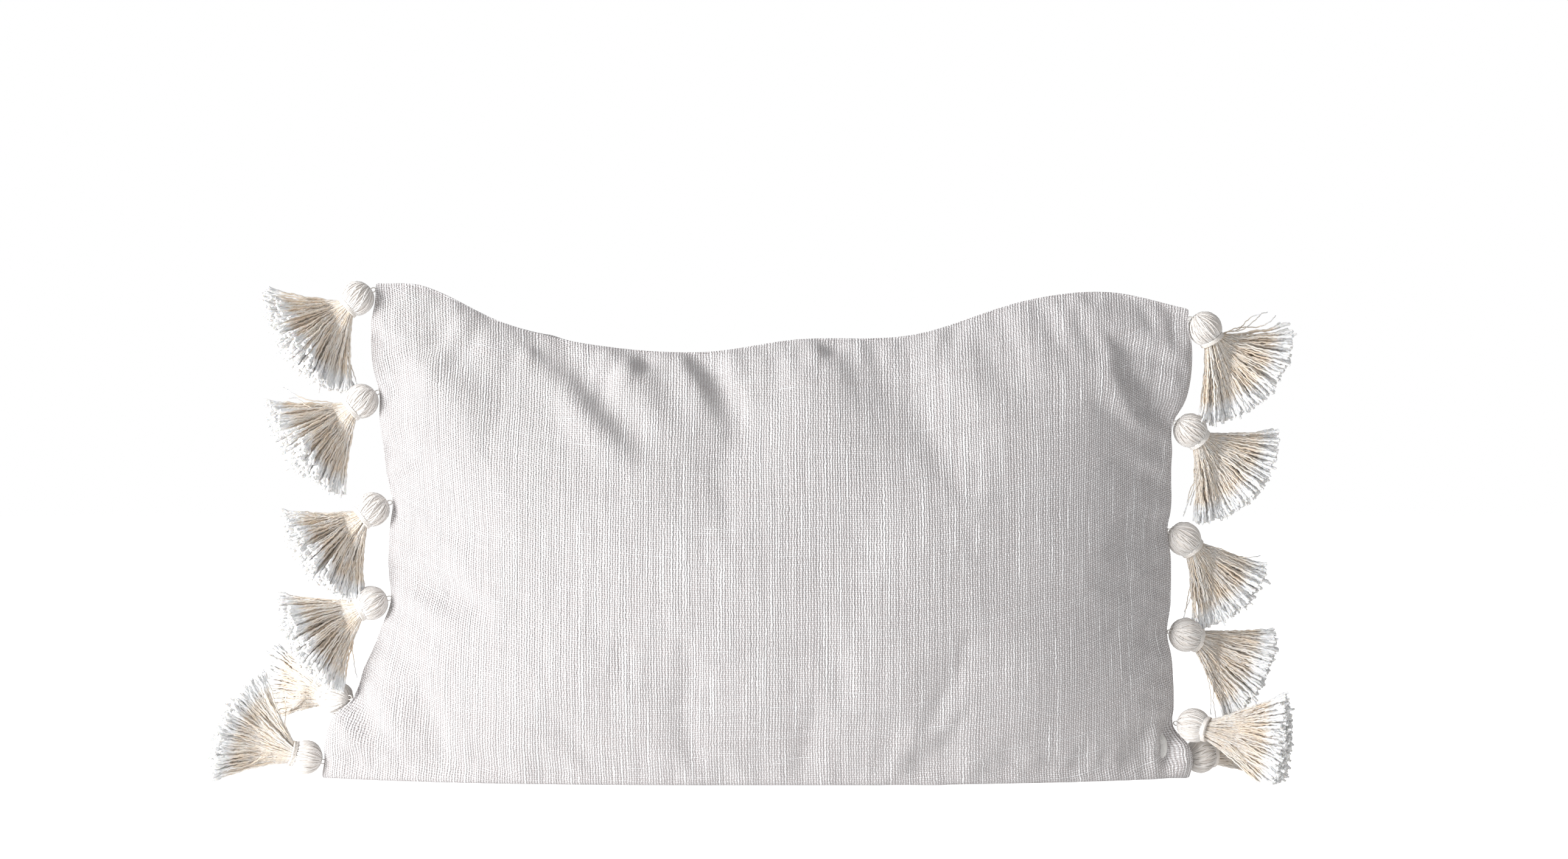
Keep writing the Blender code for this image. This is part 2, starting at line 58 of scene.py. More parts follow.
# How far each edge draws in, in metres, by the share of the way up the side or along the top.
LEFT_EDGE = (
    (0, 0), (0.10, 0.010), (0.20, 0.031), (0.34, 0.050),
    (0.50, 0.0525), (0.64, 0.050), (0.82, 0.041), (1, 0.040),
)
RIGHT_EDGE = ((0, 0), (0.12, 0.012), (0.32, 0.017), (0.55, 0.0165), (0.72, 0.016), (0.84, 0.004), (1, 0.002))
TOP_EDGE = (
    (0, 0), (0.06, 0.002), (0.16, 0.028), (0.27, 0.043), (0.40, 0.048),
    (0.52, 0.039), (0.66, 0.036), (0.80, 0.012), (0.90, 0.006), (1, 0.018),
)
# The bulge by the share of the way up a face, as a share of its fullest.
FRONT_RISE = ((0.14, 0.90), (0.36, 1), (0.62, 0.88), (0.82, 0.60), (0.94, 0.29), (1, 0))
BACK_RISE = ((0.14, 0.80), (0.36, 1), (0.62, 0.90), (0.82, 0.62), (0.94, 0.30), (1, 0))

# The cloth
CLOTH = 0.0010  # thickness of the cover's cloth
TICKING = 0.0005  # and of the insert's
LAYER = 0.0026  # from the cover's cloth to the insert's
INSERT_MIDDLE = (0.0, 0.0, 0.165)  # the insert's edges draw in towards this place
INSERT_DRAW = 0.05  # by this share of the way
INSERT_CLEAR = 0.009  # lowest place of the insert, above the zip
CLOTH_COLUMNS = 132
CLOTH_ROWS = 78
EVEN_COLUMNS = 0.65  # share of the columns' spacing that is even; the rest crowds them to the sides
UPRIGHT_THREADS = 538.0  # to the metre
LEVEL_THREADS = 700.0
THREAD_RELIEF = 0.00125
LUMP = 0.0016  # height of the filling's lumps
TOP_PUCKER = 0.0011  # and of the ripples along the seams
SIDE_PUCKER = 0.0010
SCALLOP = 0.0032  # how far the side seams swell between two tassels
RELAX_FRAMES = 22
RELAX_MOST = 0.009  # how far the cloth may move as it relaxes
CUT_EDGE_ANGLE = 0.9  # in radians: an edge that turns more than this is a cut edge

# Patches that are pushed out: where (x and z), how wide and high, and the push.
RIGHT_EAR = (0.2990, 0.0150, 0.0125, 0.0130, (0.0055, -0.0085, 0.0020))
LEFT_CORNER = (-0.2950, 0.0340, 0.0200, 0.0300, (-0.0012, -0.0060, 0.0))
RIM_MIDDLE = -0.148  # the back stands up a little above the top seam here
RIM_WIDE = 0.040
RIM_UP = 0.0075
RIM_BACK = 0.0035

# Folds of the front: the line that each follows (x and z), depth of its valley and its half width.
Fold = namedtuple("Fold", "line depth width")
FOLDS = (
    Fold(((-0.136, 0.30), (-0.118, 0.283), (-0.10, 0.262), (-0.082, 0.243), (-0.07, 0.233)), 0.0056, 0.0105),
    Fold(((-0.042, 0.301), (-0.030, 0.287), (-0.021, 0.270), (-0.014, 0.248)), 0.0060, 0.0090),
    Fold(((-0.080, 0.300), (-0.070, 0.286)), 0.0048, 0.0080),
    Fold(((-0.152, 0.306), (-0.146, 0.296)), 0.0040, 0.0065),
    Fold(((0.053, 0.308), (0.058, 0.296)), 0.0042, 0.0080),
    Fold(((0.257, 0.300), (0.262, 0.280), (0.272, 0.262), (0.291, 0.246)), 0.0040, 0.0085),
    Fold(((0.272, 0.292), (0.283, 0.270)), 0.0030, 0.0090),
    Fold(((-0.240, 0.148), (-0.216, 0.138), (-0.190, 0.124)), 0.0034, 0.0100),
    Fold(((-0.280, 0.062), (-0.268, 0.044), (-0.258, 0.026)), 0.0045, 0.0090),
    Fold(((0.104, 0.012), (0.124, 0.022)), 0.0030, 0.0110),
    Fold(((0.2880, 0.040), (0.2865, 0.022), (0.2890, 0.002)), 0.0050, 0.0050),
    Fold(((0.150, 0.316), (0.168, 0.286), (0.196, 0.262)), 0.0022, 0.0140),
    Fold(((-0.228, 0.322), (-0.206, 0.296), (-0.176, 0.270)), 0.0032, 0.0130),
)

# Tassels. top and bottom are how far above the level line the skirt's highest and lowest yarn points,
# in degrees; turn is towards the viewer; deep is the fan's half angle to each side.
Tassel = namedtuple("Tassel", "name side turn top bottom deep length seed")
TASSELS = (
    Tassel("left_1", -1, 22, 18, -98, 50, 0.055, 11),
    Tassel("left_2", -1, 20, 14, -90, 50, 0.055, 12),
    Tassel("left_3", -1, 22, 10, -98, 48, 0.053, 13),
    Tassel("left_4", -1, 18, 15, -86, 46, 0.054, 14),
    Tassel("left_5", -1, -34, 38, -16, 20, 0.058, 15),
    Tassel("left_6", -1, 20, 80, -13, 20, 0.057, 16),
    Tassel("right_1", 1, -14, 24, -103, 36, 0.055, 21),
    Tassel("right_2", 1, -14, 16, -102, 36, 0.055, 22),
    Tassel("right_3", 1, -16, -8, -96, 34, 0.054, 23),
    Tassel("right_4", 1, -12, 8, -76, 32, 0.056, 24),
    Tassel("right_5", 1, 26, 32, -40, 22, 0.060, 25),
    Tassel("right_6", 1, -26, 16, -16, 20, 0.060, 26),
)
HEAD_RADIUS = 0.0120
SHOULDER_RADIUS = 0.0095
NECK_RADIUS = 0.0072
NECK_LENGTH = 0.0034
YARN_RADIUS = 0.00062
YARN_FLOOR = 0.0002  # lowest place of any yarn's surface
HEAD_YARN_RADIUS = 0.00050
PLY_PITCH = 0.0032
HEAD_NEARER = 0.0009  # the wound head lies this much closer to the seam than its solid
YARN_CRIMP = 0.0046  # from one small bend of the yarn to the next
SKIRT_STRANDS = 300
SKIRT_POINTS = 12
EVEN_SPREAD = 2.399963  # turn from one yarn to the next that fills a round bundle evenly, in radians
FRAYED_ENDS = 1  # plies that stand apart at each cut end
STRAY_STRANDS = 3
HEAD_STRANDS = 86
WRAP_TURNS = 3
WRAP_RADIUS = 0.00062
LOOP_HALF_LENGTH = 0.0021
LOOP_HALF_WIDTH = 0.0016
LOOP_STRANDS_APART = 0.0009
COIL_PITCH = 0.0016
COIL_WIRE_RADIUS = 0.0003
COIL_END = 0.0004
# Colours of a yarn: its lightest, its darkest, the painted shade in the grooves between its plies, and the
# pale colour of its loose patches and of its cut ends, where it is a painted highlight.
SKIRT_COLOURS = ((0.95, 0.880, 0.800, 1), (0.84, 0.69, 0.55, 1), (0.60, 0.43, 0.29, 1), (1.0, 0.995, 0.99, 1))
HEAD_COLOURS = ((0.90, 0.87, 0.845, 1), (0.80, 0.755, 0.715, 1), (0.55, 0.47, 0.40, 1), (0.92, 0.90, 0.88, 1))
CORD_COLOURS = ((0.88, 0.84, 0.80, 1), (0.79, 0.74, 0.69, 1), (0.52, 0.45, 0.38, 1), (0.90, 0.87, 0.84, 1))

# The setting
LENS = 65.8
VIEWER = (0.0204, -2.0, 0.245)
AMBIENT = 0.39  # of the white surround as light; to the eye it is 1
FLOOR_GLOW = 0.72  # the floor's own light to the eye
FLOOR_FILL = 0.34  # and to everything
FLOOR_HALF_SIZE = 6
FLOOR_BELOW = 0.0004


# ---- helpers


def placed(name, data):
    made = bpy.data.objects.new(name, data)
    bpy.context.scene.collection.objects.link(made)
    return made


def mesh_of(bm, name):
    mesh = bpy.data.meshes.new(name)
    bm.to_mesh(mesh)
    bm.free()
    return mesh


def middle_of(node):
    low, high = np.array(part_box(node))
    return (low + high) / 2


class Nodes:
    """Adds nodes to a tree, and wires each input given as a socket or sets it where it is a value."""

    def __init__(self, tree):
        self.tree = tree

    def add(self, kind, out=0, settings=(), **inputs):
        node = self.tree.nodes.new(kind)
        for key, value in dict(settings).items():
            setattr(node, key, value)
        for key, value in inputs.items():
            name = key.replace("_", " ")
            socket = node.inputs[int(key[1:])] if key[0] == "i" and key[1:].isdigit() else node.inputs[name]
            self.feed(socket, value)
        return node.outputs[out]

    def feed(self, socket, value):
        if isinstance(value, bpy.types.NodeSocket):
            self.tree.links.new(value, socket)
        else:
            socket.default_value = value

    def math(self, operation, a, b=0.0):
        return self.add("ShaderNodeMath", settings={"operation": operation}, i0=a, i1=b)

    def plus(self, a, b):
        return self.math("ADD", a, b)

    def times(self, a, b):
        return self.math("MULTIPLY", a, b)

    def vector(self, operation, a, b):
        return self.add("ShaderNodeVectorMath", settings={"operation": operation}, i0=a, i1=b)

    def scaled(self, place, by):
        return self.add("ShaderNodeVectorMath", settings={"operation": "SCALE"}, i0=place, Scale=by)

    def split(self, place):
        node = self.tree.nodes.new("ShaderNodeSeparateXYZ")
        self.feed(node.inputs[0], place)
        return node.outputs

    def mix_colour(self, share, a, b):
        node = self.tree.nodes.new("ShaderNodeMix")
        node.data_type = "RGBA"
        self.feed(node.inputs[0], share)
        self.feed(node.inputs[6], a)
        self.feed(node.inputs[7], b)
        return node.outputs[2]

    def combine(self, x, y, z=0.0):
        return self.add("ShaderNodeCombineXYZ", i0=x, i1=y, i2=z)

    def noise(self, place, scale, detail=2.0, roughness=0.5):
        return self.add(
            "ShaderNodeTexNoise", out="Fac", Vector=place, Scale=scale, Detail=detail, Roughness=roughness
        )

    def grain(self, x, across, y, up, layer=0.0, detail=1.0, roughness=0.5):
        """Noise drawn out by its own factor each way. layer keeps one grain apart from another."""
        place = self.combine(self.times(x, across), self.times(y, up), layer)
        return self.noise(place, 1.0, detail, roughness)

    def ramp(self, share, low, high):
        """0 below low, 1 above high."""
        node = self.tree.nodes.new("ShaderNodeMapRange")
        node.interpolation_type = "SMOOTHSTEP"
        self.feed(node.inputs[0], share)
        node.inputs[1].default_value = low
        node.inputs[2].default_value = high
        return node.outputs[0]


def new_material(name, roughness, metallic=0.0, sheen=0.0):
    made = bpy.data.materials.new(name)
    made.use_nodes = True
    surface = made.node_tree.nodes["Principled BSDF"]
    surface.inputs["Roughness"].default_value = roughness
    surface.inputs["Metallic"].default_value = metallic
    surface.inputs["Sheen Weight"].default_value = sheen
    surface.inputs["Specular IOR Level"].default_value = 0.3 if metallic == 0 else 0.5
    return made, Nodes(made.node_tree), surface


def object_place(nodes):
    return nodes.add("ShaderNodeTexCoord", out="Object")


def paint(nodes, surface, colour):
    nodes.feed(surface.inputs["Base Color"], colour)


def bump(nodes, surface, height, distance):
    nodes.feed(surface.inputs["Normal"], nodes.add("ShaderNodeBump", Height=height, Distance=distance))


# ---- finishes


def slub_cotton():
    """Plain weave on the panel's own map, in metres. Its threads are uneven and some of them are slubs."""
    made, n, surface = new_material("slub_cotton_cloth", 0.92, sheen=0.12)
    flat = n.add("ShaderNodeUVMap", settings={"uv_map": "cloth"})
    x, y, _ = n.split(flat)
    warp_drift = n.grain(x, 60.0, y, 9.0)
    weft_drift = n.grain(x, 9.0, y, 60.0, 4.0)
    knock = n.split(n.add("ShaderNodeTexNoise", out="Color", Vector=flat, Scale=260.0, Detail=1.0))
    warp_drift = n.plus(n.times(warp_drift, 1.3), n.times(knock[0], 0.75))
    weft_drift = n.plus(n.times(weft_drift, 1.3), n.times(knock[1], 0.75))
    # warp and weft count threads: the whole number is the thread, the rest is the place across it
    warp = n.plus(n.times(x, UPRIGHT_THREADS), warp_drift)
    weft = n.plus(n.times(y, LEVEL_THREADS), weft_drift)
    thread, pick = n.math("FLOOR", warp), n.math("FLOOR", weft)
    own_warp = n.add("ShaderNodeTexWhiteNoise", settings={"noise_dimensions": "1D"}, W=thread)
    own_weft = n.add("ShaderNodeTexWhiteNoise", settings={"noise_dimensions": "1D"}, W=n.plus(pick, 0.37))

    def over(run, crossed, sign):
        """A thread's climb over every second thread that it crosses."""
        wave = n.math("SINE", n.times(n.plus(run, crossed), math.pi))
        return n.plus(0.5, n.times(wave, 0.5 * sign))

    def crown(run):
        return n.math("ABSOLUTE", n.math("SINE", n.times(run, math.pi)))

    slub = n.ramp(n.grain(thread, 5.37, y, 12.0, detail=2.5), 0.50, 0.70)
    weft_slub = n.ramp(n.grain(x, 20.0, pick, 6.71, 2.0, detail=2.0), 0.60, 0.72)
    rise = n.plus(0.20, n.times(n.math("MAXIMUM", over(weft, thread, 1.0), n.times(slub, 0.72)), 0.80))
    weft_over = n.math("MAXIMUM", over(warp, pick, -1.0), n.times(weft_slub, 0.75))
    weft_rise = n.plus(0.20, n.times(weft_over, 0.80))
    swell = n.grain(thread, 3.1, y, 150.0, 7.0)
    thick = n.plus(n.plus(0.50, n.times(own_warp, 0.16)), n.times(swell, 0.62))
    thick = n.plus(thick, n.times(slub, 0.22))
    weft_thick = n.plus(n.plus(0.52, n.times(own_weft, 0.22)), n.times(weft_slub, 0.22))
    upright = n.times(n.times(crown(warp), thick), rise)
    level = n.times(n.times(crown(weft), weft_thick), weft_rise)
    high = n.math("MAXIMUM", upright, level)
    # broad streaks and clouding
    streak = n.grain(x, 330.0, y, 13.0, 9.0, 3.0, 0.6)
    bar = n.grain(x, 20.0, y, 260.0, 3.0, 2.0, 0.6)
    cloud = n.noise(flat, 9.0, 3.0)
    tone = n.plus(n.times(n.ramp(streak, 0.32, 0.70), 0.45), n.times(n.ramp(bar, 0.30, 0.72), 0.15))
    tone = n.plus(tone, n.plus(n.times(cloud, 0.15), n.times(own_warp, 0.25)))
    colour = n.mix_colour(tone, (0.740, 0.725, 0.735, 1), (0.915, 0.910, 0.920, 1))
    colour = n.mix_colour(n.times(slub, 0.50), colour, (0.965, 0.960, 0.970, 1))
    # painted shade: where the threads lie low, between one thread and the next, the colour is mixed towards a
    # dark grey as shade
    depth = n.math("SUBTRACT", 1.0, n.ramp(high, 0.10, 0.72))
    colour = n.mix_colour(n.times(depth, 0.92), colour, (0.420, 0.375, 0.370, 1))
    paint(n, surface, colour)
    relief = n.plus(high, n.plus(n.times(slub, 0.30), n.times(streak, 1.1)))
    bump(n, surface, relief, THREAD_RELIEF)
    return made


def plain_cloth(name, colour, blotch_and_shade_colour, pitch):
    """A fine even weave on Object coordinates, for what is hidden inside."""
    made, n, surface = new_material(name, 0.88)
    place = object_place(n)
    x, y, z = n.split(place)
    across = n.math("SINE", n.times(x, math.tau / pitch))
    up = n.math("SINE", n.times(n.plus(z, y), math.tau / pitch))
    height = n.times(n.plus(n.times(across, up), 1.0), 0.5)
    blotch = n.noise(place, 30.0, 3.0)
    # partly painted shade: the weave's low places are mixed towards the darker colour as shade; the blotches
    # are random tone
    tone = n.plus(n.times(height, 0.35), n.times(blotch, 0.65))
    paint(n, surface, n.mix_colour(tone, blotch_and_shade_colour, colour))
    bump(n, surface, height, 0.0002)
    return made


def fibre():
    made, n, surface = new_material("hollow_fibre", 0.95, sheen=0.3)
    place = object_place(n)
    tuft = n.noise(place, 60.0, 5.0, 0.65)
    strand = n.noise(place, 420.0, 3.0, 0.7)
    paint(n, surface, n.mix_colour(tuft, (0.84, 0.84, 0.83, 1), (0.96, 0.96, 0.95, 1)))
    bump(n, surface, n.plus(tuft, n.times(strand, 0.3)), 0.003)
    return made


def yarn(name, light, shade, hollow, pale_patch_and_end_highlight, ply_depth, inner_light=0.0):
    """Two-ply yarn: the map's first number runs along a strand in metres and its second once around it.
    Its grooves take hollow's colour as painted shade; its loose patches take the pale colour at random, and
    its cut ends take it as a painted highlight."""
    made, n, surface = new_material(name, 0.93, sheen=0.25)
    surface.inputs["Subsurface Weight"].default_value = inner_light
    surface.inputs["Subsurface Radius"].default_value = (1.0, 0.80, 0.62)
    surface.inputs["Subsurface Scale"].default_value = 0.0016
    strip = n.add("ShaderNodeUVMap", settings={"uv_map": "strand"})
    run, around, _ = n.split(strip)
    own = n.add("ShaderNodeAttribute", out="Fac", settings={"attribute_name": "own_tone"})
    tip = n.add("ShaderNodeAttribute", out="Fac", settings={"attribute_name": "towards_tip"})
    place = object_place(n)
    ply = n.plus(n.times(run, 1 / PLY_PITCH), n.times(around, 2.0))
    ridge = n.math("ABSOLUTE", n.math("SINE", n.times(ply, math.pi)))
    fuzz = n.noise(place, 1500.0, 3.0, 0.7)
    patch = n.noise(place, 140.0, 2.0)
    colour = n.mix_colour(own, shade, light)
    colour = n.mix_colour(n.times(n.ramp(patch, 0.45, 0.75), 0.35), colour, pale_patch_and_end_highlight)
    # painted shade: the grooves between the plies are mixed towards the hollow colour as shade
    groove = n.math("SUBTRACT", 1.0, n.ramp(ridge, 0.0, 0.5))
    colour = n.mix_colour(n.times(groove, ply_depth), colour, hollow)
    # painted highlight: towards each strand's cut end the colour turns to the pale one, as light on the
    # fluffy ends
    colour = n.mix_colour(n.times(n.ramp(tip, 0.70, 0.90), 0.96), colour, pale_patch_and_end_highlight)
    paint(n, surface, colour)
    bump(n, surface, n.plus(n.times(ridge, 2 * ply_depth), n.times(fuzz, 0.8)), 0.0003)
    return made


def nylon():
    made, n, surface = new_material("zip_coil_nylon", 0.42)
    place = object_place(n)
    tone = n.noise(place, 300.0, 2.0)
    paint(n, surface, n.mix_colour(tone, (0.80, 0.78, 0.75, 1), (0.90, 0.88, 0.85, 1)))
    bump(n, surface, tone, 0.0001)
    return made


def zip_alloy():
    made, n, surface = new_material("zip_alloy", 0.34, metallic=1.0)
    place = object_place(n)
    grain = n.noise(place, 2200.0, 3.0, 0.6)
    wear = n.noise(place, 260.0, 3.0, 0.6)
    paint(n, surface, n.mix_colour(wear, (0.55, 0.54, 0.52, 1), (0.78, 0.77, 0.75, 1)))
    n.feed(surface.inputs["Roughness"], n.plus(0.26, n.times(wear, 0.22)))
    bump(n, surface, grain, 0.00004)
    return made


def stage_finish():
    made, n, surface = new_material("studio_floor", 0.9)
    surface.inputs["Base Color"].default_value = (0.85, 0.85, 0.84, 1)
    surface.inputs["Emission Color"].default_value = (1, 1, 1, 1)
    seen = n.tree.nodes.new("ShaderNodeLightPath").outputs["Is Camera Ray"]
    n.feed(surface.inputs["Emission Strength"], n.plus(FLOOR_FILL, n.times(seen, FLOOR_GLOW)))
    return made


# ---- pillow surface


def along(points, at):
    """Smooth curve through (place, value) points, at an array of places."""
    places, values = np.array(points, float).T
    steps = np.diff(places)
    slopes = np.empty(len(values))
    slopes[1:-1] = (values[2:] - values[:-2]) / (places[2:] - places[:-2])
    slopes[0] = (values[1] - values[0]) / steps[0]
    slopes[-1] = (values[-1] - values[-2]) / steps[-1]
    at = np.clip(np.asarray(at, float), places[0], places[-1])
    i = np.clip(np.searchsorted(places, at, "right") - 1, 0, len(steps) - 1)
    span = steps[i]
    t = (at - places[i]) / span
    return (
        values[i] * (2 * t**3 - 3 * t**2 + 1)
        + values[i + 1] * (3 * t**2 - 2 * t**3)
        + span * slopes[i] * (t**3 - 2 * t**2 + t)
        + span * slopes[i + 1] * (t**3 - t**2)
    )


def ease(t):
    t = np.clip(t, 0, 1)
    return t * t * (3 - 2 * t)


def seam_y(z):
    return SEAM_BACK * (1 - ease(np.asarray(z) / SEAM_RISE))


def face_points(facing, u, v):
    """Places on one face: u from left to right, v from the floor to the top seam."""
    left = -(PILLOW_WIDTH / 2 - along(LEFT_EDGE, v))
    right = PILLOW_WIDTH / 2 - along(RIGHT_EDGE, v)
    x = left * (1 - u) + right * u
    z = v * (PILLOW_HEIGHT - along(TOP_EDGE, u))
    full, rise = (FRONT_BULGE, FRONT_RISE) if facing < 0 else (BACK_BULGE, BACK_RISE)
    base = BASE_FRONT + SEAM_BACK if facing < 0 else BASE_BACK - SEAM_BACK
    across = (1 - np.abs(2 * u - 1) ** ACROSS_SHARPNESS) ** ACROSS_EDGE
    depth = full * across * along(((0, base / full), *rise), v)
    return np.stack([x, seam_y(z) + facing * depth, z], -1)


def panel_grid(facing):
    """Points of one panel, columns by rows: from the bottom seam along the base and up to the top seam."""
    grid = np.empty((CLOTH_COLUMNS + 1, CLOTH_ROWS + 1, 3))
    shares = (1 - np.cos(np.pi * np.arange(CLOTH_COLUMNS + 1) / CLOTH_COLUMNS)) / 2
    shares = 0.35 * shares + EVEN_COLUMNS * np.arange(CLOTH_COLUMNS + 1) / CLOTH_COLUMNS
    climb = np.linspace(0, 1, 240) ** 1.2
    for i, u in enumerate(shares):
        face = face_points(facing, np.full(len(climb), u), climb)
        seam = np.array([face[0, 0], SEAM_BACK, 0.0])
        base = seam + (face[0] - seam) * np.linspace(0, 1, 40, endpoint=False)[:, None]
        line = rounded_line(np.concatenate([base, face]), 30)
        reach = np.concatenate([[0], np.cumsum(np.linalg.norm(np.diff(line, axis=0), axis=1))])
        wanted = np.linspace(0, reach[-1], CLOTH_ROWS + 1)
        for k in range(3):
            grid[i, :, k] = np.interp(wanted, reach, line[:, k])
    return grid, shares


def rounded_line(line, passes):
    """The fold from the base up to the face, rounded; both ends stay."""
    for _ in range(passes):
        line[1:-1] = line[1:-1] * 0.5 + (line[:-2] + line[2:]) * 0.25
    return line


def smoothed(grid, passes):
    """The grid with every inner row and column drawn towards its neighbours, pass by pass."""
    grid = grid.copy()
    for _ in range(passes):
        grid[:, 1:-1] = grid[:, 1:-1] * 0.5 + (grid[:, :-2] + grid[:, 2:]) * 0.25
        grid[1:-1] = grid[1:-1] * 0.5 + (grid[:-2] + grid[2:]) * 0.25
    return grid


def outward(grid, facing):
    """The cloth's normals, away from the filling."""
    normal = np.cross(np.gradient(grid, axis=0), np.gradient(grid, axis=1))
    normal /= np.linalg.norm(normal, axis=-1, keepdims=True) + 1e-12
    return normal * np.sign((normal[..., 1] * facing).mean())


def shares_of(grid, shares):
    """Each point's share of the way across the panel and up it."""
    columns, rows, _ = grid.shape
    return shares[:, None] * np.ones(rows), np.linspace(0, 1, rows)[None, :] * np.ones((columns, 1))


def nearest_on(line, x, z):
    """Distance of each place to the line, the signed side, and the share of the way along it."""
    best = np.full(x.shape, 1e9)
    side = np.zeros(x.shape)
    share = np.zeros(x.shape)
    count = len(line) - 1
    for k in range(count):
        (ax, az), (bx, bz) = line[k], line[k + 1]
        dx, dz = bx - ax, bz - az
        t = np.clip(((x - ax) * dx + (z - az) * dz) / (dx * dx + dz * dz), 0, 1)
        ox, oz = x - ax - t * dx, z - az - t * dz
        d = np.hypot(ox, oz)
        closer = d < best
        best = np.where(closer, d, best)
        side = np.where(closer, np.sign(ox * dz - oz * dx), side)
        share = np.where(closer, (k + t) / count, share)
    return best, side, share


def lumps(x, z, seed):
    """Slow uneven swelling of the filling, about one unit either way."""
    draw = np.random.default_rng(seed)
    total = np.zeros(x.shape)
    for _ in range(26):
        angle, wave, start = draw.uniform(0, math.pi), draw.uniform(0.055, 0.16), draw.uniform(0, math.tau)
        total += np.sin((x * math.cos(angle) + z * math.sin(angle)) * math.tau / wave + start) * wave / 0.16
    return total / 4.5


def puckers(x, z, seed):
    """Short uneven ripples along a seam."""
    draw = np.random.default_rng(seed)
    total = np.zeros(x.shape)
    for _ in range(14):
        wave, start = draw.uniform(0.013, 0.034), draw.uniform(0, math.tau)
        lean = draw.uniform(-0.35, 0.35)
        total += np.sin((x + z * lean) * math.tau / wave + start)
    return total / 4.0


def rippled(grid, facing, shares):
    """Adds the filling's lumps and the ripples along the seams."""
    x, z = grid[..., 0], grid[..., 2]
    u, v = shares_of(grid, shares)
    from_side = np.minimum(u, 1 - u) * FLAT_WIDTH
    from_top = (1 - v) * FLAT_HEIGHT
    free = ease(from_side / 0.030) * ease(from_top / 0.028) * ease(z / 0.020)
    height = lumps(x, z, 5 + facing) * LUMP * free
    top_zone = np.exp(-((from_top / 0.030) ** 2)) * ease(from_top / 0.006)
    side_zone = np.exp(-((from_side / 0.026) ** 2)) * ease(from_side / 0.006)
    top_zone = top_zone * ease(from_side / 0.03)
    side_zone = side_zone * ease(z / 0.03) * ease(from_top / 0.03)
    height += puckers(x, from_top * 1.4, 40 + facing) * TOP_PUCKER * top_zone
    height += puckers(z, from_side * 1.4, 60 + facing) * SIDE_PUCKER * side_zone
    return raised(grid, outward(grid, facing), height)


def raised(grid, normal, height):
    """The grid moved along its normals; what lies on the floor stays there."""
    moved = grid + normal * height[..., None]
    moved[..., 2] = np.maximum(moved[..., 2], 0)
    flat = grid[..., 2] <= 1e-5
    moved[flat] = grid[flat]
    return moved


def creased(grid):
    """Presses the folds into the front: a valley with a high ridge on one side and a low one on the other."""
    x, z = grid[..., 0], grid[..., 2]
    normal = smoothed(outward(grid, -1), 8)
    from_top = (1 - np.linspace(0, 1, x.shape[1])[None, :]) * FLAT_HEIGHT
    height = np.zeros(x.shape)
    for fold in FOLDS:
        d, side, share = nearest_on(fold.line, x, z)
        fade = np.sin(np.pi * np.clip(share * 0.86 + 0.10, 0, 1)) ** 0.8
        across = d / fold.width
        valley = np.exp(-(across**2))
        ridge = np.exp(-((across - 1.8) ** 2) / 1.1)
        shape = ridge * np.where(side > 0, 0.80, 0.45) - valley
        height += fold.depth * fade * shape * ease(from_top / 0.006)
    return raised(grid, normal, height)


def scalloped(grid):
    """The side seams swell out a little between the tassels, which hold them in."""
    x, z = grid[..., 0], grid[..., 2]
    out = grid.copy()
    for side in (-1, 1):
        held = np.zeros(z.shape)
        for tassel in TASSELS:
            if tassel.side == side:
                held += np.exp(-(((z - middle_of(tassel.name + "_loop")[2]) / 0.0125) ** 2))
        edge = x[-1] if side > 0 else x[0]
        near = np.exp(-((np.abs(edge[None, :] - x) / 0.020) ** 2))
        free = np.clip(1 - held, 0, 1)
        from_ends = ease(z / 0.02) * ease((PILLOW_HEIGHT - z) / 0.03)
        out[..., 0] += side * SCALLOP * near * free * from_ends
    return out


def swollen(grid, x, z, wide, high, push):
    """Pushes a soft patch of the cloth out, for a corner that puffs or rolls."""
    near = np.exp(-(((grid[..., 0] - x) / wide) ** 2 + ((grid[..., 2] - z) / high) ** 2) ** 1.5)
    out = grid + near[..., None] * np.array(push)
    out[..., 2] = np.maximum(out[..., 2], 0)
    return out


def back_rim(grid):
    """Behind the top seam the back stands up a little above it, on the left of the middle."""
    rows = grid.shape[1]
    row = np.arange(rows)[None, :]
    along_top = np.exp(-(((grid[:, :, 0] - RIM_MIDDLE) / RIM_WIDE) ** 2))
    stands = along_top * np.exp(-(((row - (rows - 4)) / 3.2) ** 2)) * (row < rows - 1)
    out = grid.copy()
    out[..., 2] += RIM_UP * stands
    out[..., 1] += RIM_BACK * stands
    return out


def bag_mesh(front, back):
    """Both panels as one closed bag, sewn along their edges: its mesh, each panel's vertex numbers and
    which of them are on an edge."""
    columns, rows, _ = front.shape
    number_front = np.arange(columns * rows).reshape(columns, rows)
    edge = np.zeros((columns, rows), bool)
    edge[0], edge[-1], edge[:, 0], edge[:, -1] = True, True, True, True
    number_back = np.where(edge, number_front, -1)
    inside = np.argwhere(~edge)
    number_back[~edge] = columns * rows + np.arange(len(inside))
    points = np.concatenate([front.reshape(-1, 3), back[~edge]])

    def quads(number, flip):
        a, b, c, d = number[:-1, :-1], number[1:, :-1], number[1:, 1:], number[:-1, 1:]
        order = (a, b, c, d) if not flip else (d, c, b, a)
        return np.stack(order, -1).reshape(-1, 4)

    faces = np.concatenate([quads(number_front, False), quads(number_back, True)])
    mesh = bpy.data.meshes.new("bag")
    mesh.from_pydata(points.tolist(), [], faces.tolist())
    return mesh, number_front, number_back, edge


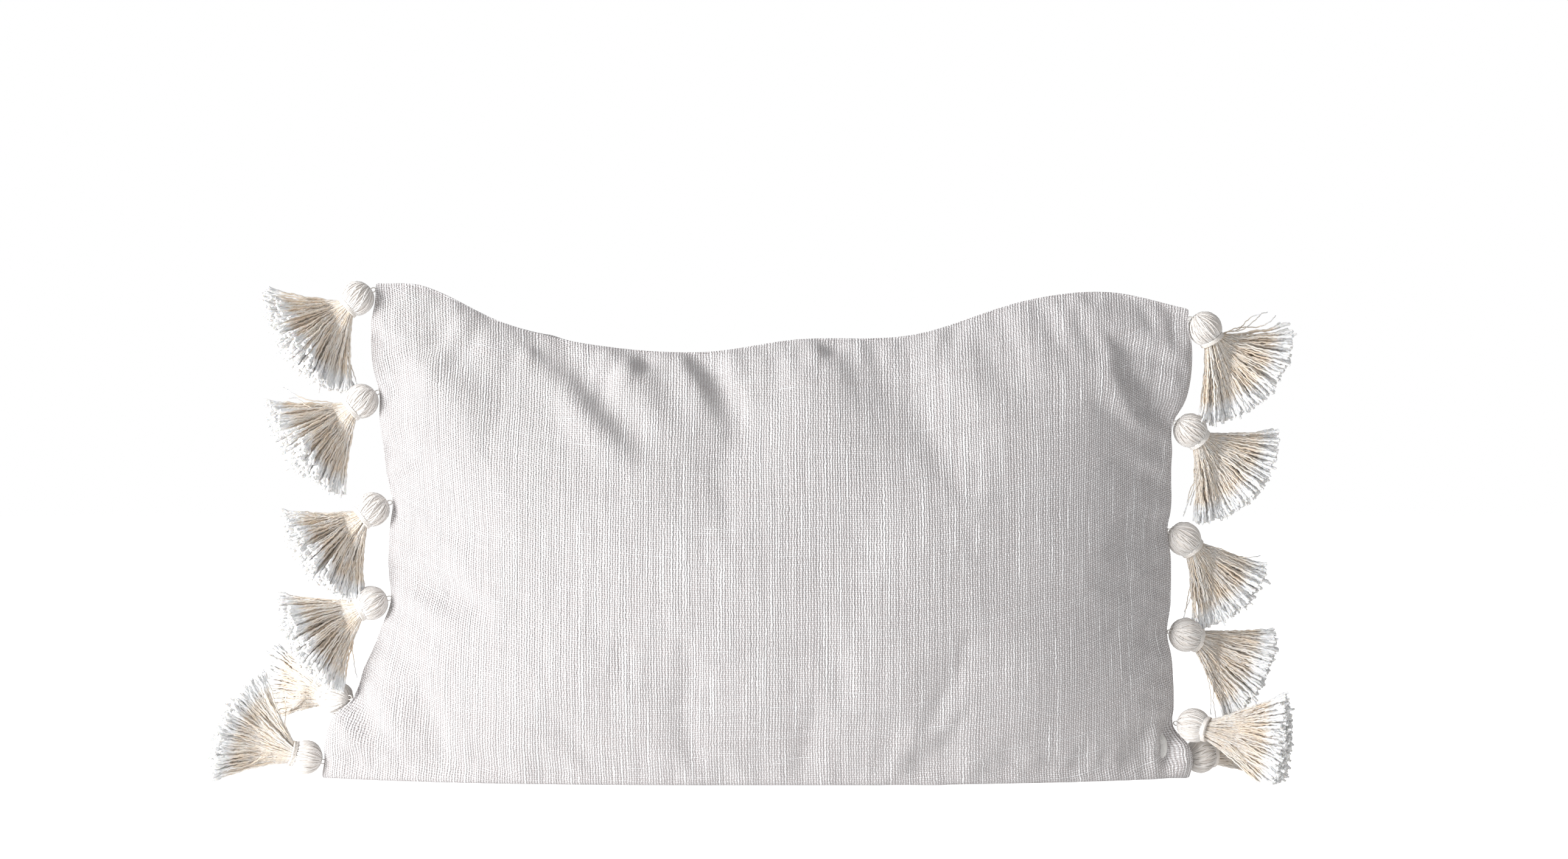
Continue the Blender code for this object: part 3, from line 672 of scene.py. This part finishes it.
def relaxed_by_cloth(front, back):
    """Fills the sewn bag: the cloth is a little larger than its starting shape, so its seams wrinkle."""
    mesh, number_front, number_back, edge = bag_mesh(front, back)
    bag = placed("bag", mesh)
    held = bag.vertex_groups.new(name="held")
    start = np.array([v.co[:] for v in mesh.vertices])
    low = start[:, 2] < 0.0012
    seam = np.zeros(len(start), bool)
    seam[number_front[edge]] = True
    held.add(np.flatnonzero(low | seam).tolist(), 1.0, "REPLACE")
    cloth = bag.modifiers.new("Cloth", "CLOTH")
    s = cloth.settings
    s.quality = 8
    s.mass = 0.15
    s.tension_stiffness = s.compression_stiffness = 18
    s.shear_stiffness = 8
    s.bending_stiffness = 0.9
    s.tension_damping = s.compression_damping = 12
    s.air_damping = 3
    s.use_pressure = True
    s.uniform_pressure_force = 2.4
    s.vertex_group_mass = "held"
    s.shrink_min = -0.012
    s.effector_weights.gravity = 0
    cloth.collision_settings.use_collision = False
    cloth.point_cache.frame_start, cloth.point_cache.frame_end = 1, RELAX_FRAMES
    for moment in range(1, RELAX_FRAMES + 1):
        bpy.context.scene.frame_set(moment)
    ready = bag.evaluated_get(bpy.context.evaluated_depsgraph_get()).to_mesh()
    end = np.array([v.co[:] for v in ready.vertices])
    bpy.context.scene.frame_set(1)
    bpy.data.objects.remove(bag)
    step = end - start
    length = np.linalg.norm(step, axis=1, keepdims=True)
    end = start + step * np.minimum(1, RELAX_MOST / np.maximum(length, 1e-9))
    end[:, 2] = np.maximum(end[:, 2], 0)
    return end[number_front], end[number_back]


def zip_slot(grid, facing):
    """Opens the bottom seam for the zip: the panel's edge turns up into the slot."""
    grid = grid.copy()
    x = grid[:, 0, 0]
    share = np.clip((ZIP_OPENING / 2 + SLOT_END - np.abs(x)) / SLOT_END, 0, 1)
    for row in range(4):
        lip = SEAM_BACK + facing * (GAP / 2 + share * (SLOT_HALF_WIDTH - GAP / 2))
        grid[:, row, 1] = np.where(
            facing < 0,
            np.minimum(grid[:, row, 1], lip - 0.0004 * row * share),
            np.maximum(grid[:, row, 1], lip + 0.0004 * row * share),
        )
    grid[:, 0, 2] = share * (SLOT_DEPTH - GAP)
    return grid


def flat_map(grid):
    """Lays the cloth out flat: the distance across, FLAT_WIDTH / 2 at x = 0, and up from the bottom seam."""
    columns, rows, _ = grid.shape
    slow = smoothed(grid, 6)
    level = np.linalg.norm(np.diff(slow[..., :2], axis=0), axis=-1)
    level = np.concatenate([np.zeros((1, rows)), np.cumsum(level, axis=0)])
    middle = np.array([np.interp(0.0, slow[:, j, 0], level[:, j]) for j in range(rows)])
    climb = np.linalg.norm(np.diff(slow[..., 1:], axis=1), axis=-1)
    climb = np.concatenate([np.zeros((columns, 1)), np.cumsum(climb, axis=1)], axis=1)
    return np.stack([level - middle[None, :] + FLAT_WIDTH / 2, climb], -1)


def drawn_in(grid, shares, facing):
    """The insert's panel: a layer inside the cover's, clear of its seams and of the zip."""
    u, v = shares_of(grid, shares)
    grid = grid - outward(grid, facing) * LAYER
    margin = np.minimum(np.minimum(u, 1 - u) * FLAT_WIDTH, (1 - v) * FLAT_HEIGHT)
    pull = np.exp(-((margin / 0.02) ** 2))[..., None] * INSERT_DRAW
    grid = grid * (1 - pull) + np.array(INSERT_MIDDLE) * pull
    grid[..., 2] = np.maximum(grid[..., 2], INSERT_CLEAR + LAYER)
    own = seam_y(grid[..., 2]) + facing * 0.0004
    grid[..., 1] = np.minimum(grid[..., 1], own) if facing < 0 else np.maximum(grid[..., 1], own)
    return grid


def panel_piece(name, grid, facing, finish, thickness, rounds):
    """One panel as a cloth piece with its flat map, in metres. rounds: how often its faces are divided."""
    columns, rows, _ = grid.shape
    bm = bmesh.new()
    layer = bm.loops.layers.uv.new("cloth")
    flat = flat_map(grid)
    verts = [[bm.verts.new(grid[i, j]) for j in range(rows)] for i in range(columns)]
    for i in range(columns - 1):
        for j in range(rows - 1):
            corners = ((i, j), (i + 1, j), (i + 1, j + 1), (i, j + 1))
            if facing > 0:
                corners = corners[::-1]
            face = bm.faces.new([verts[a][b] for a, b in corners])
            for loop, (a, b) in zip(face.loops, corners):
                loop[layer].uv = flat[a, b]
            face.smooth = True
    mesh = mesh_of(bm, name)
    mesh.materials.append(finish)
    made = placed(name, mesh)
    if rounds:
        smooth = made.modifiers.new("Smooth", "SUBSURF")
        smooth.levels = smooth.render_levels = rounds
    wall = made.modifiers.new("Cloth thickness", "SOLIDIFY")
    wall.thickness = thickness
    wall.offset = -1
    shell = bpy.data.meshes.new_from_object(made.evaluated_get(bpy.context.evaluated_depsgraph_get()))
    made.modifiers.clear()
    made.data = shell
    crisp_edges(shell)
    return made


def crisp_edges(mesh):
    """Keeps the shading of a cut edge apart from the cloth's two faces."""
    bm = bmesh.new()
    bm.from_mesh(mesh)
    for edge in bm.edges:
        if len(edge.link_faces) == 2 and edge.calc_face_angle() > CUT_EDGE_ANGLE:
            edge.smooth = False
    bm.to_mesh(mesh)
    bm.free()


# ---- yarn


def yarn_tree():
    """Turns guide lines into yarn: each line wavers, then gets a round section, a strand map and a finish."""
    tree = bpy.data.node_groups.new("Yarn along guides", "GeometryNodeTree")
    face = tree.interface
    face.new_socket("Guides", in_out="INPUT", socket_type="NodeSocketGeometry")
    for label, kind, value in (
        ("Yarn radius", "NodeSocketFloat", YARN_RADIUS),
        ("Sides", "NodeSocketInt", 4),
        ("Spacing", "NodeSocketFloat", 0.0013),
        ("Waver", "NodeSocketFloat", 0.0),
        ("Waver length", "NodeSocketFloat", 0.01),
        ("Crimp", "NodeSocketFloat", 0.0),
        ("Crimp length", "NodeSocketFloat", 0.01),
        ("Seed", "NodeSocketInt", 1),
    ):
        face.new_socket(label, in_out="INPUT", socket_type=kind).default_value = value
    face.new_socket("Finish", in_out="INPUT", socket_type="NodeSocketMaterial")
    face.new_socket("Yarn", in_out="OUTPUT", socket_type="NodeSocketGeometry")
    g = Nodes(tree)
    given = tree.nodes.new("NodeGroupInput")
    source = {socket.name: socket for socket in given.outputs}

    def named(attribute):
        return g.add("GeometryNodeInputNamedAttribute", settings={"data_type": "FLOAT"}, Name=attribute)

    def captured(geometry, label, value):
        node = tree.nodes.new("GeometryNodeCaptureAttribute")
        node.capture_items.new("FLOAT", label)
        g.feed(node.inputs[0], geometry)
        g.feed(node.inputs[1], value)
        return node.outputs

    curve = g.add("GeometryNodeMeshToCurve", Mesh=source["Guides"])
    by_length = {"mode": "LENGTH"}
    curve = g.add("GeometryNodeResampleCurve", settings=by_length, Curve=curve, Length=source["Spacing"])
    place = g.add("GeometryNodeInputPosition")
    own = named("own_tone")
    tip = named("towards_tip")
    thick = named("thickness")
    drift = g.scaled(place, g.math("DIVIDE", 1.0, source["Waver length"]))
    apart = g.combine(g.times(own, 1.6), source["Seed"], g.times(own, -1.2))
    spot = g.vector("ADD", drift, apart)
    wave = g.add("ShaderNodeTexNoise", out="Color", Vector=spot, Scale=1.0, Detail=1.0)
    centred = g.vector("SUBTRACT", wave, (0.5, 0.5, 0.5))
    amount = g.times(source["Waver"], g.times(g.ramp(tip, 0.02, 0.35), 2.0))
    shift = g.scaled(centred, amount)
    curve = g.add("GeometryNodeSetPosition", Geometry=curve, Offset=shift)
    run = g.add("GeometryNodeSplineParameter", out="Length")
    beat = g.times(g.math("DIVIDE", run, source["Crimp length"]), math.tau)
    normal = g.add("GeometryNodeInputNormal")
    tangent = g.add("GeometryNodeInputTangent")
    other = g.vector("CROSS_PRODUCT", normal, tangent)
    size = g.times(source["Crimp"], g.ramp(tip, 0.02, 0.22))
    swing = g.times(g.math("SINE", g.plus(beat, g.times(own, 61.0))), size)
    sway = g.times(g.math("COSINE", g.plus(g.times(beat, 0.83), g.times(own, 47.0))), size)
    crimp = g.vector("ADD", g.scaled(normal, swing), g.scaled(other, sway))
    curve = g.add("GeometryNodeSetPosition", Geometry=curve, Offset=crimp)
    curve = g.add("GeometryNodeSetCurveRadius", Curve=curve, Radius=g.times(source["Yarn radius"], thick))
    strand = captured(curve, "run", run)
    profile = g.add("GeometryNodeCurvePrimitiveCircle", Resolution=source["Sides"], Radius=1.0)
    ring = captured(profile, "around", g.add("GeometryNodeSplineParameter", out="Factor"))
    thickness = g.add("GeometryNodeInputRadius")
    body = g.add(
        "GeometryNodeCurveToMesh", Curve=strand[0], Profile_Curve=ring[0], Scale=thickness, Fill_Caps=True
    )
    corners = {"data_type": "FLOAT2", "domain": "CORNER"}
    strip = g.combine(strand[1], ring[1])
    mapped = g.add(
        "GeometryNodeStoreNamedAttribute", settings=corners, Geometry=body, Name="strand", Value=strip
    )
    smooth = g.add("GeometryNodeSetShadeSmooth", Geometry=mapped)
    real = g.add("GeometryNodeRealizeInstances", Geometry=smooth)
    finished = g.add("GeometryNodeSetMaterial", Geometry=real, Material=source["Finish"])
    result = tree.nodes.new("NodeGroupOutput")
    g.feed(result.inputs[0], finished)
    return tree


def yarn_piece(name, tree, guides, finish, sizes, core=None):
    """guides: (points, thickness along them or one number, own tone, how near the cut end they start).
    core: a plain mesh that the yarn lies on."""
    points, edges, thick, tone, tip = [], [], [], [], []
    for line, thickness, own, from_share in guides:
        first = len(points)
        count = len(line)
        points += [tuple(p) for p in line]
        edges += [(first + i, first + i + 1) for i in range(count - 1)]
        thick += list(np.broadcast_to(thickness, count))
        tone += [own] * count
        tip += list(np.linspace(from_share, 1, count))
    mesh = bpy.data.meshes.new(name + "_guides")
    mesh.from_pydata(points, edges, [])
    for label, values in (("thickness", thick), ("own_tone", tone), ("towards_tip", tip)):
        mesh.attributes.new(label, "FLOAT", "POINT").data.foreach_set("value", np.array(values, np.float32))
    guide = placed(name + "_guides", mesh)
    grown = guide.modifiers.new("Yarn", "NODES")
    grown.node_group = tree
    keys = {item.name: item.identifier for item in tree.interface.items_tree if item.in_out == "INPUT"}
    for label, value in {**sizes, "Finish": finish}.items():
        grown[keys[label]] = value
    ready = guide.evaluated_get(bpy.context.evaluated_depsgraph_get())
    plain = bpy.data.meshes.new_from_object(ready)
    bpy.data.objects.remove(guide)
    plain.name = name
    if core is not None:
        bm = bmesh.new()
        bm.from_mesh(plain)
        bm.from_mesh(core)
        bm.to_mesh(plain)
        bm.free()
    if not plain.materials:
        plain.materials.append(finish)
    lift = np.empty(len(plain.vertices) * 3, np.float32)
    plain.vertices.foreach_get("co", lift)
    lift[2::3] = np.maximum(lift[2::3], YARN_FLOOR)
    plain.vertices.foreach_set("co", lift)
    return placed(name, plain)


def unit(angle, turn, side):
    """A direction, from the angle above the level and the turn towards the viewer, in degrees."""
    up, yaw = math.radians(angle), math.radians(turn)
    return np.array([side * math.cos(up) * math.cos(yaw), -math.cos(up) * math.sin(yaw), math.sin(up)])


def tassel_frame(tassel):
    """Centre of the head and the skirt's line, read from the solids of the head and the binding."""
    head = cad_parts[tassel.name + "_head"].data
    ball = centre_of_ball(np.array([v.co[:] for v in head.vertices]))
    axis = middle_of(tassel.name + "_binding") - ball
    axis /= np.linalg.norm(axis)
    up = np.array([0, 0, 1.0]) - axis * axis[2]
    up /= np.linalg.norm(up)
    seam = middle_of(tassel.name + "_loop") - ball
    return ball + seam / np.linalg.norm(seam) * HEAD_NEARER, axis, up, np.cross(axis, up)


def centre_of_ball(spots):
    """Least squares centre of the points that lie HEAD_RADIUS from it; the neck's points are left out."""
    keep = spots
    for _ in range(4):
        a = np.c_[2 * keep, np.ones(len(keep))]
        centre = np.linalg.lstsq(a, (keep**2).sum(1), rcond=None)[0][:3]
        off = np.abs(np.linalg.norm(spots - centre, axis=1) - HEAD_RADIUS)
        keep = spots[off <= np.quantile(off, 0.7)]
    return centre


def shoulder():
    """From the ball's centre to where the yarn is gathered."""
    return math.sqrt(HEAD_RADIUS**2 - SHOULDER_RADIUS**2)


def skirt_guides(tassel):
    """Yarn ends: out of the neck along the tassel's line, then fanned, kinked and weighed down."""
    draw = np.random.default_rng(tassel.seed)
    ball, axis, up, deep = tassel_frame(tassel)
    neck = ball + axis * (shoulder() + NECK_LENGTH - 0.001)
    line_angle = math.degrees(math.asin(axis[2]))
    steps = np.linspace(0, 1, SKIRT_POINTS)
    guides = []
    for k in range(SKIRT_STRANDS):
        radius = math.sqrt((k + 0.5) / SKIRT_STRANDS)
        turn = k * EVEN_SPREAD + draw.uniform(-0.3, 0.3)
        a, b = radius * math.cos(turn), radius * math.sin(turn)
        start = neck + (up * a + deep * b) * (NECK_RADIUS - YARN_RADIUS)
        reach = (tassel.top - line_angle) if a > 0 else (line_angle - tassel.bottom)
        lift = line_angle + reach * a * draw.uniform(0.93, 1.03) + draw.normal(0, 1.2)
        fan = tassel.deep * b * draw.uniform(0.9, 1.06) * tassel.side
        swing = tassel.turn - fan + draw.normal(0, 1.5)
        run = unit(lift, swing, tassel.side)
        length = tassel.length * draw.uniform(0.955, 1.0)
        if draw.uniform() < 0.03:
            length *= draw.uniform(1.02, 1.07)
        leave = axis * (1 - steps)[:, None] * 0.30 + run * (0.72 + 0.28 * steps)[:, None]
        leave /= np.linalg.norm(leave, axis=1, keepdims=True)
        hops = leave[:-1] * length / (SKIRT_POINTS - 1)
        path = start + np.concatenate([[np.zeros(3)], np.cumsum(hops, axis=0)])
        path[:, 2] -= 0.004 * steps**2 * draw.uniform(0.2, 1.4) * max(0.0, math.cos(math.radians(lift)))
        kink_a, kink_b = draw.uniform(0.4, 1.5) * 0.0004, draw.uniform(0.4, 1.5) * 0.0004
        side_a, side_b = np.cross(run, [0.2, 0.9, 0.1]), np.cross(run, np.cross(run, [0.2, 0.9, 0.1]))
        beat = draw.uniform(2.2, 4.6)
        phase = draw.uniform(0, math.tau, 2)
        rise = ease(steps / 0.3)
        path = path + side_a * (np.sin(steps * beat * math.tau + phase[0]) * kink_a * rise)[:, None]
        path = path + side_b * (np.sin(steps * beat * 1.3 * math.tau + phase[1]) * kink_b * rise)[:, None]
        floor = YARN_RADIUS * draw.uniform(1.0, 3.0)
        path[:, 2] = np.maximum(path[:, 2], floor)
        thick = np.interp(steps, [0, 0.15, 0.70, 0.88, 1], [0.85, 1, 1.05, 1.75, 2.05])
        thick = thick * draw.uniform(0.88, 1.10)
        tone = draw.uniform()
        guides.append((path, thick, tone, 0.0))
        for _ in range(FRAYED_ENDS):
            guides.append(frayed_end(path, draw, tone))
    return guides + [stray(tassel, draw, neck, axis) for _ in range(STRAY_STRANDS)]


def frayed_end(path, draw, tone):
    """A ply that stands a little apart from a strand's cut end."""
    start, end = path[-3] * 0.5 + path[-2] * 0.5, path[-1]
    run = end - start
    splay = draw.normal(0, 0.20, 3) * np.linalg.norm(run)
    t = np.linspace(0, 1, 5)
    line = start + run * (t * draw.uniform(0.88, 1.06))[:, None] + splay * (t * (1.4 - 0.6 * t))[:, None]
    line[:, 2] = np.maximum(line[:, 2], YARN_RADIUS)
    return line, np.interp(t, [0, 0.3, 0.8, 1], [0.8, 1.3, 1.5, 1.2]), tone, 0.84


def stray(tassel, draw, neck, axis):
    """One loose yarn that hangs outside the fan in a slack curve."""
    steps = np.linspace(0, 1, 14)
    above = draw.uniform() < 0.5
    lift = tassel.top + draw.uniform(2, 14) if above else tassel.bottom - draw.uniform(-6, 4)
    run = unit(lift, tassel.turn + draw.uniform(-8, 8), tassel.side)
    length = tassel.length * draw.uniform(0.82, 1.06)
    path = neck + run * (steps * length)[:, None] + axis * (0.25 * length * steps * (1 - steps))[:, None]
    curl = draw.uniform(0.0014, 0.0030) * ease(steps / 0.3)
    path[:, 2] += curl * np.sin(steps * draw.uniform(6, 11)) - 0.010 * steps**2 * (1.0 if above else 0.2)
    path[:, 1] += curl * np.cos(steps * draw.uniform(6, 11))
    path[:, 2] = np.maximum(path[:, 2], YARN_RADIUS)
    return path, 0.62, draw.uniform(), 0.0


def head_guides(tassel):
    """Yarn laid over the ball from the loop to the neck, and on under the binding."""
    draw = np.random.default_rng(tassel.seed + 100)
    ball, axis, up, deep = tassel_frame(tassel)
    last = math.acos(-shoulder() / HEAD_RADIUS)
    guides = []
    for k in range(HEAD_STRANDS):
        around = math.tau * k / HEAD_STRANDS + draw.uniform(-0.05, 0.05)
        lean = 0.55 + draw.uniform(-0.16, 0.16)
        lay = HEAD_RADIUS + 0.0002 - HEAD_YARN_RADIUS * draw.uniform(0.9, 2.2)
        path = []
        for t in np.linspace(0, 1, 12):
            polar = 0.10 + (last - 0.10) * t
            turn = around + lean * (1 - t) + 0.10 * math.sin(t * 5 + k)
            out = up * math.cos(turn) + deep * math.sin(turn)
            path.append(ball - axis * math.cos(polar) * lay + out * math.sin(polar) * lay)
        out = up * math.cos(around) + deep * math.sin(around)
        path.append(ball + axis * (shoulder() + NECK_LENGTH * 0.4) + out * (NECK_RADIUS - HEAD_YARN_RADIUS))
        path.append(ball + axis * (shoulder() + NECK_LENGTH) + out * (NECK_RADIUS - HEAD_YARN_RADIUS))
        thick = np.concatenate([[0.6, 0.8], np.full(10, 1.15), [0.9, 0.8]]) * draw.uniform(0.85, 1.15)
        guides.append((np.array(path), thick, draw.uniform(), 0.0))
    return guides


def head_core(tassel):
    """What the yarn is wound over: it shows only as shade between strands."""
    ball = tassel_frame(tassel)[0]
    bm = bmesh.new()
    bmesh.ops.create_icosphere(bm, subdivisions=3, radius=HEAD_RADIUS - 1.6 * HEAD_YARN_RADIUS)
    bmesh.ops.translate(bm, verts=bm.verts, vec=Vector(ball))
    for face in bm.faces:
        face.smooth = True
    return mesh_of(bm, tassel.name + "_core")


def wrap_guides(tassel):
    """Turns of cord round the neck: one layer wound up it and a second wound back down over it."""
    draw = np.random.default_rng(tassel.seed + 200)
    ball, axis, up, deep = tassel_frame(tassel)
    guides = []
    low, high = shoulder() + 0.0006, shoulder() + NECK_LENGTH - 0.0002
    for layer in range(2):
        turns = WRAP_TURNS + layer
        t = np.linspace(0, 1, 18 * turns)
        radius = NECK_RADIUS + WRAP_RADIUS * (0.7 + 1.5 * layer)
        start = draw.uniform(0, math.tau)
        angle = start + t * turns * math.tau
        along_axis = low + (high - low) * (t if layer == 0 else 1 - t) + draw.normal(0, 0.00005, len(t))
        out = up * np.cos(angle)[:, None] + deep * np.sin(angle)[:, None]
        guides.append((ball + axis * along_axis[:, None] + out * radius, 1.0, draw.uniform(), 0.0))
    return guides


def loop_guides(tassel):
    """The sewn loop: two strands of cord from the seam to the top of the head."""
    draw = np.random.default_rng(tassel.seed + 300)
    middle = middle_of(tassel.name + "_loop")
    run = tassel_frame(tassel)[0] - middle
    run /= np.linalg.norm(run)
    side = np.array([0, 0, 1.0]) - run * run[2]
    side /= np.linalg.norm(side)
    across = np.cross(run, side)
    t = np.linspace(0, math.tau, 17)
    ring = middle - run * (LOOP_HALF_LENGTH * np.cos(t))[:, None]
    ring = ring + side * (LOOP_HALF_WIDTH * np.sin(t))[:, None]
    guides = []
    for k in range(2):
        guides.append((ring + across * (k - 0.5) * LOOP_STRANDS_APART, 0.62, draw.uniform(), 0.0))
    return guides


def zip_coil_guides(facing):
    """One side's coil: a spiral of nylon along the tape."""
    low, high = (np.array(c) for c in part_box("zip_coil_" + ("front" if facing < 0 else "back")))
    middle = (low + high) / 2
    length = high[0] - low[0]
    turns = int(length / COIL_PITCH)
    t = np.linspace(0, 1, turns * 6)
    angle = t * turns * math.tau
    radius = (high[2] - low[2]) / 2 - COIL_WIRE_RADIUS
    x = low[0] + COIL_END + (length - 2 * COIL_END) * t
    y = middle[1] + np.cos(angle) * radius * facing
    z = middle[2] + np.sin(angle) * radius
    return [(np.stack([x, y, z], -1), 1.0, 0.5, 0.0)]


# ---- setting


def set_camera():
    lens = bpy.data.cameras.new("front_view")
    lens.lens = LENS
    lens.sensor_width = 36
    made = placed("front_view", lens)
    made.location = VIEWER
    made.rotation_euler = (math.radians(90), 0, 0)
    bpy.context.scene.camera = made


def soft_light(name, place, aim, size, power):
    data = bpy.data.lights.new(name, "AREA")
    data.shape = "SQUARE"
    data.size = size
    data.energy = power
    made = placed(name, data)
    made.location = place
    made.rotation_euler = (Vector(aim) - Vector(place)).to_track_quat("-Z", "Y").to_euler()


def set_studio():
    scene = bpy.context.scene
    world = bpy.data.worlds.new("white_studio")
    world.use_nodes = True
    sky = Nodes(world.node_tree)
    seen = sky.tree.nodes.new("ShaderNodeLightPath").outputs["Is Camera Ray"]
    white = world.node_tree.nodes["Background"]
    white.inputs["Color"].default_value = (1, 1, 1, 1)
    sky.feed(white.inputs["Strength"], sky.plus(AMBIENT, sky.times(seen, 1.0 - AMBIENT)))
    scene.world = world
    scene.view_settings.view_transform = "Standard"
    bm = bmesh.new()
    bmesh.ops.create_grid(bm, x_segments=1, y_segments=1, size=FLOOR_HALF_SIZE)
    bmesh.ops.translate(bm, verts=bm.verts, vec=(0, 0, -FLOOR_BELOW))
    mesh = mesh_of(bm, "floor")
    mesh.materials.append(stage_finish())
    floor = placed("floor", mesh)
    soft_light("window_left", (-1.88, -1.32, 0.55), (0, 0, 0.16), 0.8, 65)
    soft_light("overhead", (-0.4, 0.1, 1.9), (0, 0, 0.1), 1.2, 5)


# ---- making


def make_pillow(finish):
    front, shares = panel_grid(-1)
    back, _ = panel_grid(1)
    front, back = scalloped(front), scalloped(back)
    front, back = rippled(front, -1, shares), rippled(back, 1, shares)
    front, back = relaxed_by_cloth(front, back)
    front = creased(front)
    front, back = swollen(front, *RIGHT_EAR), swollen(back, *RIGHT_EAR)
    front, back = swollen(front, *LEFT_CORNER), swollen(back, *LEFT_CORNER)
    back = back_rim(back)
    for facing, grid, side in ((-1, front, "front"), (1, back, "back")):
        grid = zip_slot(grid, facing)
        cloth = panel_piece("pillow_" + side + "_cloth", grid, facing, finish["slub"], CLOTH, 1)
        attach(cloth, "pillow")
        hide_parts("cover_" + side)
        lining = drawn_in(grid, shares, facing)
        inner = panel_piece("insert_" + side + "_cloth", lining, facing, finish["ticking"], TICKING, 0)
        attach(inner, "pillow")
        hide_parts("insert_" + side)


def make_tassel(tassel, tree, finish):
    loose = {"Yarn radius": YARN_RADIUS, "Sides": 4, "Spacing": YARN_CRIMP / 2.9, "Seed": tassel.seed}
    loose.update({"Waver": 0.0016, "Waver length": 0.016, "Crimp": 0.00019, "Crimp length": YARN_CRIMP})
    tight = {"Yarn radius": HEAD_YARN_RADIUS, "Sides": 4, "Spacing": 0.0026, "Seed": tassel.seed}
    cord = {**tight, "Yarn radius": WRAP_RADIUS, "Sides": 6, "Spacing": 0.0012}
    pieces = (
        ("yarn_skirt", "skirt", skirt_guides(tassel), loose, "skirt", "cotton_yarn", None),
        ("yarn_head", "head", head_guides(tassel), tight, "yarn", "cotton_yarn", head_core(tassel)),
        ("neck_wrap", "binding", wrap_guides(tassel), cord, "cord", "binding_yarn", None),
        ("sewn_loop", "loop", loop_guides(tassel), cord, "cord", "binding_yarn", None),
    )
    for label, node, guides, sizes, look, slot, core in pieces:
        piece = yarn_piece(f"{tassel.name}_{label}", tree, guides, finish[look], sizes, core)
        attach(piece, tassel.name)
        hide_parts(f"{tassel.name}_{node}")


def make_zip(tree, finish):
    for facing, side in ((-1, "front"), (1, "back")):
        sizes = {"Yarn radius": COIL_WIRE_RADIUS, "Sides": 5, "Spacing": 0.0004}
        coil = yarn_piece("zip_spiral_" + side, tree, zip_coil_guides(facing), finish["nylon"], sizes)
        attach(coil, "pillow")
        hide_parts("zip_coil_" + side)
        refinish("zip_tape_" + side, finish["tape"])
    for node in ("zip_slider", "zip_pull", "zip_end_stop"):
        refinish(node, finish["alloy"])


def refinish(node, finish):
    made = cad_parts[node]
    for slot in made.material_slots:
        slot.material = finish
    if not made.material_slots:
        made.data.materials.append(finish)


def make_all():
    set_camera()
    set_studio()
    finish = {
        "slub": slub_cotton(),
        "ticking": plain_cloth("insert_ticking", (0.93, 0.92, 0.90, 1), (0.84, 0.83, 0.81, 1), 0.0009),
        "tape": plain_cloth("zip_tape_weave", (0.86, 0.84, 0.81, 1), (0.74, 0.72, 0.69, 1), 0.0006),
        "fibre": fibre(),
        "nylon": nylon(),
        "alloy": zip_alloy(),
        "skirt": yarn("skirt_yarn", *SKIRT_COLOURS, ply_depth=0.30, inner_light=0.35),
        "yarn": yarn("head_yarn", *HEAD_COLOURS, ply_depth=0.16),
        "cord": yarn("neck_cord", *CORD_COLOURS, ply_depth=0.22),
    }
    make_pillow(finish)
    refinish("insert_filling", finish["fibre"])
    tree = yarn_tree()
    make_zip(tree, finish)
    for tassel in TASSELS:
        make_tassel(tassel, tree, finish)


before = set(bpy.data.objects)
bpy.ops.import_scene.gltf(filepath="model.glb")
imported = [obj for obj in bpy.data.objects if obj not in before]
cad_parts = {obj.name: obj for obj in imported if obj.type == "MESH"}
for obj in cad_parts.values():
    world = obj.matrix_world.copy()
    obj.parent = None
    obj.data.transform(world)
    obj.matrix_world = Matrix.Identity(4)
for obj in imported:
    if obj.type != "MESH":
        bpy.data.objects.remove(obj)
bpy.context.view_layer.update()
make_all()
